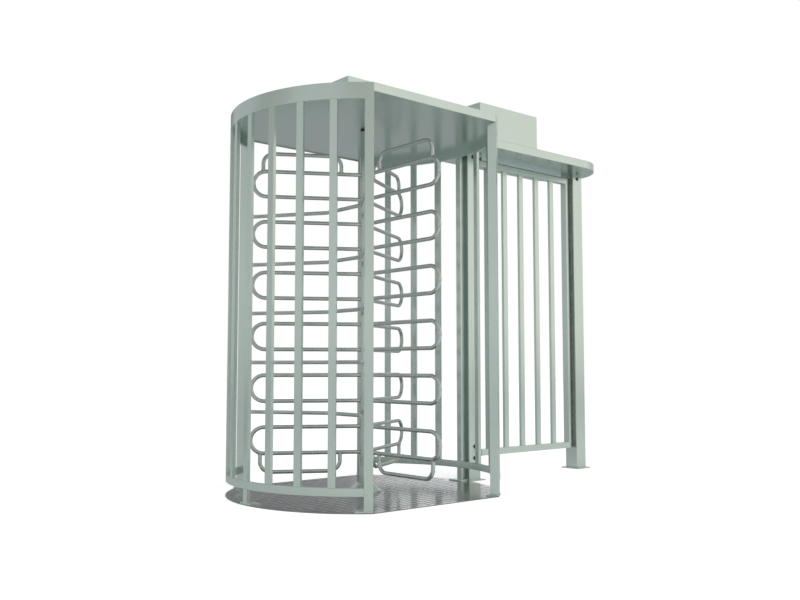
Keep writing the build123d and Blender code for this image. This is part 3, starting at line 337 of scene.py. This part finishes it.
# ================================================================ mesh helpers
def piece_from(name, verts, faces, slot_name, body, smooth=True):
    """New mesh piece from lists, riding on a CAD body."""
    mesh = bpy.data.meshes.new(name)
    mesh.from_pydata([tuple(v) for v in verts], [], faces)
    mesh.validate()
    if smooth:
        mesh.shade_smooth()
    obj = bpy.data.objects.new(name, mesh)
    bpy.context.scene.collection.objects.link(obj)
    mesh.materials.append(MATERIALS[slot_name])
    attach(obj, body)
    return obj


class Shape:
    """Collects closed shells into one mesh."""

    def __init__(self):
        self.verts = []
        self.faces = []

    def shell(self, verts, faces):
        start = len(self.verts)
        self.verts.extend(verts)
        self.faces.extend([tuple(start + i for i in face) for face in faces])

    def bead(self, path, radius, sides=8, closed=True, ripple=0.18, pitch=0.003):
        """Weld bead: a small round section along a path, its radius rippled along the way."""
        count = len(path)
        rings = []
        travelled = 0.0
        for i, point in enumerate(path):
            before = path[i - 1] if (i > 0 or closed) else point
            after = path[(i + 1) % count] if (i < count - 1 or closed) else point
            along = (after - before).normalized()
            side = along.orthogonal().normalized()
            up = along.cross(side)
            if i:
                travelled += (point - path[i - 1]).length
            r = radius * (1 + ripple * math.sin(2 * math.pi * travelled / pitch))
            if not closed and i in (0, count - 1):
                r *= 0.35
            ring = []
            for k in range(sides):
                a = 2 * math.pi * k / sides
                ring.append(point + r * (math.cos(a) * side + math.sin(a) * up))
            rings.append(ring)
        if closed:
            rings = align_rings(rings)
        verts = [v for ring in rings for v in ring]
        faces = []
        last = count if closed else count - 1
        for i in range(last):
            j = (i + 1) % count
            for k in range(sides):
                m = (k + 1) % sides
                faces.append((i * sides + k, i * sides + m, j * sides + m, j * sides + k))
        if not closed:
            faces.append(tuple(range(sides - 1, -1, -1)))
            faces.append(tuple((count - 1) * sides + k for k in range(sides)))
        self.shell(verts, faces)

    def build(self, name, slot_name, body, smooth=True):
        return piece_from(name, self.verts, self.faces, slot_name, body, smooth)


def align_rings(rings):
    """Turn each ring of points so that it starts nearest the one before, to keep the skin untwisted."""
    out = [rings[0]]
    for ring in rings[1:]:
        n = len(ring)
        start = min(range(n), key=lambda s: (ring[s] - out[-1][0]).length)
        out.append([ring[(start + k) % n] for k in range(n)])
    return out


# ================================================================ tread plate
LOZENGE_PITCH = 0.072
LOZENGE_LENGTH = 0.054
LOZENGE_WIDTH = 0.016
LOZENGE_HEIGHT = 0.0014
PATTERN_TURN = math.radians(45)
LOZENGE_SINK = 0.0006
EDGE_MARGIN = 0.028
LOZENGE_STEPS = 7
# Share of the outline and height of each level of a lozenge, from its sunk foot up
LOZENGE_LEVELS = (
    (1.0, -LOZENGE_SINK),
    (0.92, 0.45 * LOZENGE_HEIGHT),
    (0.62, 0.9 * LOZENGE_HEIGHT),
)


def lozenge(shape, x, y, turn):
    """One raised lens of the tread pattern, sunk slightly into the plate."""
    outline = []
    for i in range(LOZENGE_STEPS):
        t = -1 + 2 * i / (LOZENGE_STEPS - 1)
        outline.append((t * LOZENGE_LENGTH / 2, (1 - t * t) * LOZENGE_WIDTH / 2))
    outline += [(px, -py) for px, py in outline[-2:0:-1]]
    count = len(outline)
    c, s = math.cos(turn), math.sin(turn)
    verts = []
    for share, z in LOZENGE_LEVELS:
        for px, py in outline:
            qx, qy = px * (0.5 + share / 2), py * share
            verts.append(Vector((x + c * qx - s * qy, y + s * qx + c * qy, FLOOR_TOP + z)))
    verts.append(Vector((x, y, FLOOR_TOP + LOZENGE_HEIGHT)))
    faces = [tuple(range(count - 1, -1, -1))]
    for level in range(2):
        for k in range(count):
            m = (k + 1) % count
            a, b = level * count, (level + 1) * count
            faces.append((a + k, a + m, b + m, b + k))
    top = 2 * count
    for k in range(count):
        faces.append((top + k, top + (k + 1) % count, 3 * count))
    shape.shell(verts, [tuple(reversed(f)) for f in faces])


def tread_is_clear(x, y):
    """True where a lozenge fits on the plate clear of its edge, the feet and the bearing housing."""
    reach = math.hypot(x, y)
    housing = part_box("lower_bearing_housing")[1].x
    off_edge = reach > CAGE_R - EDGE_MARGIN or abs(y) > CAGE_HALF_Y - EDGE_MARGIN
    if off_edge or reach < housing + EDGE_MARGIN:
        return False
    for fx, fy, half in FOOT_SPOTS:
        if abs(x - fx) < half + EDGE_MARGIN and abs(y - fy) < half + EDGE_MARGIN:
            return False
    return True


FOOT_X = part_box("left_guard_end_posts")[1].x
FOOT_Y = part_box("left_guard_end_posts")[1].y
CORNER_FOOT_HALF = 0.035
CORNER_FOOT_OUT = 0.01
CORNER_FOOT_IN = 0.045
SIDE_FOOT_HALF = 0.03
# Centre and half width of the squares that the feet keep free of lozenges
FOOT_SPOTS = [
    (sx * abs(FOOT_X + CORNER_FOOT_OUT), sy * (FOOT_Y - CORNER_FOOT_IN), CORNER_FOOT_HALF)
    for sx in (-1, 1)
    for sy in (-1, 1)
]
FOOT_SPOTS += [
    (sx * (CAGE_R - SIDE_FOOT_HALF), sy * SIDE_FOOT_HALF, SIDE_FOOT_HALF)
    for sx in (-1, 1)
    for sy in (-1, 1)
]


def tread_pattern():
    shape = Shape()
    count = int(CAGE_R / LOZENGE_PITCH) + 1
    c, s = math.cos(PATTERN_TURN), math.sin(PATTERN_TURN)
    for i in range(-count, count + 1):
        for j in range(-count, count + 1):
            for half, turn in ((0.0, 0.0), (0.5, math.pi / 2)):
                u = (i + half) * LOZENGE_PITCH
                v = (j + half) * LOZENGE_PITCH
                x = c * u - s * v
                y = s * u + c * v
                if tread_is_clear(x, y):
                    lozenge(shape, x, y, turn)
    return shape.build("tread_lozenges", "tread_plate", "cage")


# ================================================================ welds
TUBE_R = 0.0115
BEAD_R = 0.0024
ROW_PITCH = 0.150
LOOPS_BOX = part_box("wing_loops")
TOP_ROW = LOOPS_BOX[1].z - TUBE_R
BOTTOM_ROW = LOOPS_BOX[0].z + TUBE_R
WING_ANGLES = [math.radians(a) for a in (30, 150, 270)]
HANDLE_INNER = 0.142
HANDLE_OUTER = 0.605
BEND_DROP = 0.0027
BAR_PITCH = math.radians(13.45)
BAR_HALF = 0.020
GATE_BARS = 4
POST_ANGLE = 4 * BAR_PITCH
POST_HALF_R = 0.025
POST_HALF_T = 0.0235
POST_CENTRE_R = CAGE_R - POST_HALF_R
COMB_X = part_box("comb_arms")[1].x - TUBE_R
COMB_BEND_Y = 0.168
BEAD_STEP = 0.0008
# A guard bead runs between these depths under the cage's outer radius
GUARD_BEAD_DEEP = 0.0185
GUARD_BEAD_SHALLOW = 0.0015
# How far the beads stand off the faces they run along
LEAF_BEAD_GAP = 0.0003
CAGE_POST_GAP = 0.0002
CAGE_POST_LIFT = 0.0006
GATE_POST_GAP = 0.0004
GATE_POST_LIFT = 0.0008
GATE_POST_BEAD = 0.003


def column_bead(shape, angle, z):
    """Bead where a wing tube meets the round column."""
    out = Vector((math.cos(angle), math.sin(angle), 0))
    side = Vector((-math.sin(angle), math.cos(angle), 0))
    path = []
    steps = 28
    ring = TUBE_R + 0.4 * BEAD_R
    for i in range(steps):
        a = 2 * math.pi * i / steps
        across = ring * math.cos(a)
        reach = math.sqrt((COLUMN_R + 0.3 * BEAD_R) ** 2 - across**2)
        path.append(reach * out + across * side + Vector((0, 0, z + ring * math.sin(a))))
    shape.bead(path, BEAD_R)


def tube_bead(shape, centre, axis, face_point, normal):
    """Bead where a round tube runs into a flat face, whatever the angle between them."""
    u = axis.orthogonal().normalized()
    v = axis.cross(u).normalized()
    path = []
    steps = 28
    for i in range(steps):
        a = 2 * math.pi * i / steps
        point = centre + TUBE_R * (math.cos(a) * u + math.sin(a) * v)
        slide = (face_point - point).dot(normal) / axis.dot(normal)
        path.append(point + slide * axis)
    shape.bead(path, BEAD_R)


def saddle_bead(shape, angle, reach, z, side):
    """Bead where an upright handle tube meets a wing tube; side is 1 above the wing tube, -1 below."""
    out = Vector((math.cos(angle), math.sin(angle), 0))
    across = Vector((-math.sin(angle), math.cos(angle), 0))
    ring = TUBE_R + 0.3 * BEAD_R
    path = []
    steps = 32
    for i in range(steps):
        a = 2 * math.pi * i / steps
        lift = ring * abs(math.cos(a)) + 0.3 * BEAD_R
        height = Vector((0, 0, z + side * lift))
        path.append((reach + ring * math.cos(a)) * out + ring * math.sin(a) * across + height)
    shape.bead(path, 0.8 * BEAD_R)


def rotor_welds():
    shape = Shape()
    rows = round((TOP_ROW - BOTTOM_ROW) / ROW_PITCH) + 1
    for angle in WING_ANGLES:
        for row in range(rows):
            column_bead(shape, angle, TOP_ROW - row * ROW_PITCH)
        for z, side in ((TOP_ROW, 1), (BOTTOM_ROW, -1)):
            saddle_bead(shape, angle, HANDLE_INNER, z, side)
            saddle_bead(shape, angle, HANDLE_OUTER, z - side * BEND_DROP, side)
    return shape.build("rotor_welds", "rotor_tube", "rotor")


def comb_welds():
    """Beads where the comb's tubes run into the left guard's end posts."""
    shape = Shape()
    low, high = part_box("comb_arms")
    arms = round((high.z - low.z - 2 * TUBE_R) / (2 * ROW_PITCH)) + 1
    for turn in (-1, 1):
        angle = math.pi + turn * POST_ANGLE
        out = Vector((math.cos(angle), math.sin(angle), 0))
        side = Vector((-out.y, out.x, 0))
        post = POST_CENTRE_R * out
        bend = Vector((COMB_X, math.copysign(COMB_BEND_Y, post.y), 0))
        axis = (bend - post).normalized()
        exits = ((POST_HALF_R / abs(axis.dot(out)), out), (POST_HALF_T / abs(axis.dot(side)), side))
        reach, normal = min(exits, key=lambda pair: pair[0])
        for arm in range(arms):
            lift = Vector((0, 0, low.z + TUBE_R + 2 * arm * ROW_PITCH))
            tube_bead(shape, post + lift, axis, post + reach * axis + lift, normal)
    return shape.build("comb_welds", "rotor_tube", "cage")


def guard_welds():
    """Short beads at both sides of every guard upright, on the bottom ring and under the top band."""
    shape = Shape()
    ring_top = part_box("left_guard_bottom_ring")[1].z
    band_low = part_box("left_guard_top_band")[0].z
    deep = CAGE_R - GUARD_BEAD_DEEP
    shallow = CAGE_R - GUARD_BEAD_SHALLOW
    for facing in (0.0, math.pi):
        for k in range(-3, 4):
            angle = facing + k * BAR_PITCH
            out = Vector((math.cos(angle), math.sin(angle), 0))
            side = Vector((-out.y, out.x, 0))
            for z in (ring_top, band_low):
                for turn in (-1, 1):
                    foot = turn * (BAR_HALF + 0.2 * BEAD_R) * side + Vector((0, 0, z))
                    line_bead(shape, deep * out + foot, shallow * out + foot, 0.8 * BEAD_R)
    return shape.build("guard_welds", "cage_paint", "cage")


def leaf_welds():
    """Beads round the gate's bars where they meet the two rails."""
    shape = Shape()
    low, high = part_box("gate_bars")
    pitch = (high.x - low.x - 2 * BAR_HALF) / (GATE_BARS - 1)
    half_x = BAR_HALF + LEAF_BEAD_GAP
    half_y = high.y + LEAF_BEAD_GAP
    for i in range(GATE_BARS):
        centre = Vector((low.x + BAR_HALF + i * pitch, 0, 0))
        for z in (low.z, high.z):
            rectangle_beads(shape, centre, Vector((1, 0, 0)), half_x, half_y, z, 0.7 * BEAD_R)
    return shape.build("leaf_welds", "cage_paint", "gate_leaf")


def line_bead(shape, start, end, bead=BEAD_R):
    steps = max(6, int((end - start).length / BEAD_STEP))
    path = [start.lerp(end, i / steps) for i in range(steps + 1)]
    shape.bead(path, bead, sides=6, closed=False)


def rectangle_beads(shape, centre, x_dir, half_x, half_y, z, bead=BEAD_R):
    """Four fillet beads where an upright box section stands on a plate."""
    x_dir = x_dir.normalized()
    y_dir = Vector((-x_dir.y, x_dir.x, 0))
    corners = [(-1, -1), (1, -1), (1, 1), (-1, 1)]
    for k, (cx, cy) in enumerate(corners):
        nx, ny = corners[(k + 1) % 4]
        start = centre + cx * half_x * x_dir + cy * half_y * y_dir
        end = centre + nx * half_x * x_dir + ny * half_y * y_dir
        start.z = end.z = z
        line_bead(shape, start, end, bead)


FOOT_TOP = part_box("guard_foot_plates")[1].z
BASE_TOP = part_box("gate_post_base_plates")[1].z


def frame_welds():
    """Beads at the feet of the cage's end posts and of the two gate posts."""
    shape = Shape()
    half_r = POST_HALF_R + CAGE_POST_GAP
    half_t = POST_HALF_T + CAGE_POST_GAP
    for facing in (0.0, math.pi):
        for turn in (-1, 1):
            angle = facing + turn * POST_ANGLE
            out = Vector((math.cos(angle), math.sin(angle), 0))
            rectangle_beads(shape, POST_CENTRE_R * out, out, half_r, half_t, FOOT_TOP + CAGE_POST_LIFT)
    low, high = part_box("gate_posts")
    half = (high.y - low.y) / 2
    side = half + GATE_POST_GAP
    z = BASE_TOP + GATE_POST_LIFT
    for x in (low.x + half, high.x - half):
        rectangle_beads(shape, Vector((x, 0, 0)), Vector((1, 0, 0)), side, side, z, GATE_POST_BEAD)
    return shape.build("frame_welds", "cage_paint", "cage")


# ================================================================ screws and washers
OUTLINE_POINTS = 24
SCREW_HEAD = 3 * MM
CROSS_BOLT_Z = (0.144, 0.218, 2.123)
WASHER_BORE = 0.0088
WASHER_R = 0.0135
WASHER_RIM_R = 0.0130
WASHER_RIM_T = 0.0011
WASHER_T = 0.0016


def spin_shell(shape, centre, normal, rings, closed_ends=True):
    """Shell of rings along an axis; each ring is (distance along the axis, radius, sides of its outline)."""
    u = normal.orthogonal().normalized()
    v = normal.cross(u)
    count = OUTLINE_POINTS
    verts = []
    for along, radius, sides in rings:
        for k in range(count):
            a = 2 * math.pi * k / count
            r = radius
            if sides:
                step = 2 * math.pi / sides
                r = radius * math.cos(step / 2) / math.cos(a % step - step / 2)
            verts.append(centre + along * normal + r * (math.cos(a) * u + math.sin(a) * v))
    faces = []
    for level in range(len(rings) - 1):
        for k in range(count):
            m = (k + 1) % count
            a, b = level * count, (level + 1) * count
            faces.append((a + k, a + m, b + m, b + k))
    last = (len(rings) - 1) * count
    if closed_ends:
        faces.append(tuple(range(count - 1, -1, -1)))
        faces.append(tuple(last + k for k in range(count)))
    else:
        for k in range(count):
            m = (k + 1) % count
            faces.append((last + k, last + m, m, k))
    shape.shell(verts, faces)


def socket_screws():
    """Domed socket-head screws in the covers' end faces."""
    shape = Shape()
    low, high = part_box("cover_screws")
    radius = (high.z - low.z) / 2
    z = low.z + radius
    depth = SCREW_HEAD
    dome = (
        (0.0, radius, 0),
        (0.45 * depth, radius, 0),
        (0.75 * depth, 0.93 * radius, 0),
        (depth, 0.72 * radius, 0),
        (depth, 0.50 * radius, 6),
        (0.3 * depth, 0.48 * radius, 6),
    )
    for cover in ("mechanism_cover", "cabinet_cover"):
        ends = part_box(cover)
        for x, outward in ((ends[0].x, -1), (ends[1].x, 1)):
            for y in (low.y + radius, high.y - radius):
                spin_shell(shape, Vector((x, y, z)), Vector((outward, 0, 0)), dome)
    screws = shape.build("socket_screws", "machined_steel", "cage", smooth=False)
    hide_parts("cover_screws")
    return screws


def bolt_washers():
    """Plain washers under the heads and nuts of the posts' cross bolts."""
    shape = Shape()
    low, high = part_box("gate_posts")
    half = (high.y - low.y) / 2
    spots = [(low.x + half, z) for z in CROSS_BOLT_Z] + [(high.x - half, CROSS_BOLT_Z[-1])]
    washer = (
        (0.0, WASHER_BORE, 0),
        (0.0, WASHER_R, 0),
        (WASHER_RIM_T, WASHER_R, 0),
        (WASHER_T, WASHER_RIM_R, 0),
        (WASHER_T, WASHER_BORE, 0),
    )
    for x, z in spots:
        for y in (-1, 1):
            spin_shell(shape, Vector((x, y * half, z)), Vector((0, y, 0)), washer, closed_ends=False)
    return shape.build("bolt_washers", "brake_black", "cage", smooth=False)


# ================================================================ studio
CAMERA_AT = Vector((-3.24176, -4.16518, 0.73026))
CAMERA_YAW = math.radians(49.80)
CAMERA_PITCH = math.radians(4.333)
CAMERA_LENS = 39.89
CAMERA_SENSOR = 36
CAMERA_REACH = 100
FLOOR_HALF = 30.0
FLOOR_DROP = 0.0005
KEY_AT = (-1.2, -6.0, 3.4)
KEY_AIM = (0.5, 0, 1.1)
KEY_SIZE = (4.0, 3.0)
KEY_POWER = 190
KEY_COLOUR = (1.0, 0.96, 0.88)

# Brightness of the studio's walls by azimuth, low down and 17 degrees up
WALL_LOW = (
    (-180, (0.74, 0.75, 0.75)),
    (-153, (0.79, 0.80, 0.81)),
    (-126, (0.86, 0.86, 0.85)),
    (-104, (0.52, 0.52, 0.50)),
    (-84, (0.62, 0.61, 0.58)),
    (-62, (1.00, 0.96, 0.89)),
    (-38, (1.06, 1.02, 0.95)),
    (-20, (0.62, 0.61, 0.60)),
    (0, (0.55, 0.55, 0.56)),
    (20, (0.58, 0.59, 0.60)),
    (36, (0.80, 0.81, 0.82)),
    (45, (1.04, 1.05, 1.06)),
    (52, (0.90, 0.91, 0.92)),
    (66, (0.66, 0.68, 0.69)),
    (93, (0.53, 0.55, 0.57)),
    (120, (0.66, 0.68, 0.70)),
    (149, (0.62, 0.63, 0.64)),
    (180, (0.74, 0.75, 0.75)),
)
WALL_MID = (
    (-180, (0.58, 0.59, 0.60)),
    (-152, (0.57, 0.57, 0.56)),
    (-135, (0.42, 0.41, 0.39)),
    (-105, (0.46, 0.46, 0.43)),
    (-84, (0.62, 0.61, 0.58)),
    (-62, (0.97, 0.93, 0.87)),
    (-30, (0.97, 0.93, 0.87)),
    (0, (0.66, 0.66, 0.64)),
    (22, (0.62, 0.63, 0.63)),
    (45, (0.98, 0.99, 1.00)),
    (60, (0.72, 0.73, 0.74)),
    (106, (0.53, 0.55, 0.57)),
    (122, (0.54, 0.56, 0.58)),
    (139, (0.41, 0.41, 0.40)),
    (156, (0.45, 0.44, 0.42)),
    (180, (0.58, 0.59, 0.60)),
)
SKY_TOP = (0.60, 0.62, 0.64, 1)
# Heights, as the direction's Z, over which the low wall turns into the upper wall and that into the sky
LOW_TO_MID = (0.05, 0.28)
MID_TO_TOP = (0.30, 0.75)
# A dark panel at the back left, seen only in the floor plate: rise and fall in degrees, and in height
DARK_BACK_AZIMUTH = (51.0, 53.0, 80.0, 88.0)
DARK_BACK_HEIGHT = (0.075, 0.11, 0.36, 0.45)
DARK_BACK_SHARE = 0.78
DARK_BACK_COLOUR = (0.10, 0.11, 0.11, 1)


def window(graph, value, rise, full, fall, gone):
    """1 between full and fall, fading to 0 at rise and gone."""
    up = graph.remap(value, rise, full, 0.0, 1.0)
    down = graph.remap(value, fall, gone, 1.0, 0.0)
    return graph.math("MULTIPLY", up, down)


def wall_ramp(graph, around, wall):
    return graph.ramp(around, [((azimuth + 180) / 360, colour) for azimuth, colour in wall], "EASE")


def studio_world():
    """Walls and sky as a gradient by direction; the camera itself sees plain white."""
    world = bpy.data.worlds.new("studio")
    bpy.context.scene.world = world
    world.use_nodes = True
    g = Graph(world.node_tree)
    direction = g.add("ShaderNodeTexCoord").outputs["Generated"]
    parts = g.add("ShaderNodeSeparateXYZ", {0: direction})
    turn = g.math("ARCTAN2", parts.outputs[1], parts.outputs[0])
    around = g.math("ADD", g.math("DIVIDE", turn, 2 * math.pi), 0.5)
    height = parts.outputs[2]
    low_to_mid = g.remap(height, *LOW_TO_MID, 0.0, 1.0)
    mid_to_top = g.remap(height, *MID_TO_TOP, 0.0, 1.0)
    walls = g.mix(low_to_mid, wall_ramp(g, around, WALL_LOW), wall_ramp(g, around, WALL_MID))
    sky = g.mix(mid_to_top, walls, SKY_TOP)
    bearing = g.math("MULTIPLY", g.math("SUBTRACT", around, 0.5), 360.0)
    patch = window(g, bearing, *DARK_BACK_AZIMUTH)
    patch = g.math("MULTIPLY", patch, window(g, height, *DARK_BACK_HEIGHT))
    sky = g.mix(g.math("MULTIPLY", patch, DARK_BACK_SHARE), sky, DARK_BACK_COLOUR)
    shade = g.add("ShaderNodeBackground", {"Color": sky, "Strength": 1.0})
    plain = g.add("ShaderNodeBackground", {"Color": (1, 1, 1, 1), "Strength": 1.0})
    seen = g.add("ShaderNodeLightPath").outputs["Is Camera Ray"]
    both = g.add("ShaderNodeMixShader", {0: seen, 1: shade.outputs[0], 2: plain.outputs[0]})
    g.add("ShaderNodeOutputWorld", {"Surface": both.outputs[0]})


def soft_light(name, place, target, size, power, colour):
    data = bpy.data.lights.new(name, "AREA")
    data.shape = "RECTANGLE"
    data.size, data.size_y = size
    data.energy = power
    data.color = colour
    data.spread = math.pi
    light = bpy.data.objects.new(name, data)
    light.location = place
    light.visible_glossy = False
    light.rotation_mode = "QUATERNION"
    light.rotation_quaternion = (Vector(target) - Vector(place)).to_track_quat("-Z", "Y")
    bpy.context.scene.collection.objects.link(light)


# Pools of light on the floor that only the object's reflections see: centre, full radius, reach, strength
GATE_POOL = ((3.4, -2.2, 0.0), 2.0, 4.2, 0.30)
LEFT_POOL = ((-2.4, 0.0, 0.0), 1.5, 4.0, 0.13)


def light_pool(graph, place, centre, full, reach, strength):
    away = graph.add("ShaderNodeVectorMath", {0: place, 1: centre}, operation="DISTANCE").outputs["Value"]
    return graph.remap(away, full, reach, strength, 0.0)


def pale_floor():
    """White floor: the camera sees it almost shadowless, and it lights the object from below."""
    material, g = new_material("pale_floor")
    place = g.add("ShaderNodeTexCoord").outputs["Object"]
    grain = g.noise(place, 40.0, 4.0)
    colour = g.mix(grain, (0.90, 0.90, 0.90, 1), (0.93, 0.93, 0.93, 1))
    seen = g.add("ShaderNodeBsdfDiffuse", {"Color": colour})
    glow = g.add("ShaderNodeEmission", {"Color": (1, 1, 1, 1), "Strength": 0.5})
    bright = g.add("ShaderNodeAddShader", {0: seen.outputs[0], 1: glow.outputs[0]})
    pools = g.math("ADD", light_pool(g, place, *GATE_POOL), light_pool(g, place, *LEFT_POOL))
    lit = g.add("ShaderNodeEmission", {"Color": (1.0, 0.98, 0.94, 1), "Strength": pools})
    matt = g.add("ShaderNodeBsdfDiffuse", {"Color": (0.60, 0.61, 0.62, 1)})
    bounce = g.add("ShaderNodeAddShader", {0: matt.outputs[0], 1: lit.outputs[0]})
    camera = g.add("ShaderNodeLightPath").outputs["Is Camera Ray"]
    both = g.add("ShaderNodeMixShader", {0: camera, 1: bounce.outputs[0], 2: bright.outputs[0]})
    g.add("ShaderNodeOutputMaterial", {"Surface": both.outputs[0]})
    mesh = bpy.data.meshes.new("pale_floor")
    corners = [(sx * FLOOR_HALF, sy * FLOOR_HALF, 0) for sx, sy in ((-1, -1), (1, -1), (1, 1), (-1, 1))]
    mesh.from_pydata(corners, [], [(0, 1, 2, 3)])
    mesh.materials.append(material)
    floor = bpy.data.objects.new("pale_floor", mesh)
    floor.location.z = -FLOOR_DROP
    bpy.context.scene.collection.objects.link(floor)


def studio_camera():
    data = bpy.data.cameras.new("camera")
    data.lens = CAMERA_LENS
    data.sensor_width = CAMERA_SENSOR
    data.clip_end = CAMERA_REACH
    camera = bpy.data.objects.new("camera", data)
    camera.location = CAMERA_AT
    flat = math.cos(CAMERA_PITCH)
    aim = Vector((math.cos(CAMERA_YAW) * flat, math.sin(CAMERA_YAW) * flat, math.sin(CAMERA_PITCH)))
    camera.rotation_mode = "QUATERNION"
    camera.rotation_quaternion = aim.to_track_quat("-Z", "Y")
    bpy.context.scene.collection.objects.link(camera)
    bpy.context.scene.camera = camera


# ================================================================ build
paint_cad_nodes()
for edge, names in EDGE_RADII.items():
    for node_name in names:
        soften_edges(NODES[node_name], edge)
tread_pattern()
rotor_welds()
comb_welds()
frame_welds()
guard_welds()
leaf_welds()
socket_screws()
bolt_washers()
studio_world()
soft_light("key", KEY_AT, KEY_AIM, KEY_SIZE, KEY_POWER, KEY_COLOUR)
pale_floor()
studio_camera()
bpy.context.scene.view_settings.view_transform = "Standard"
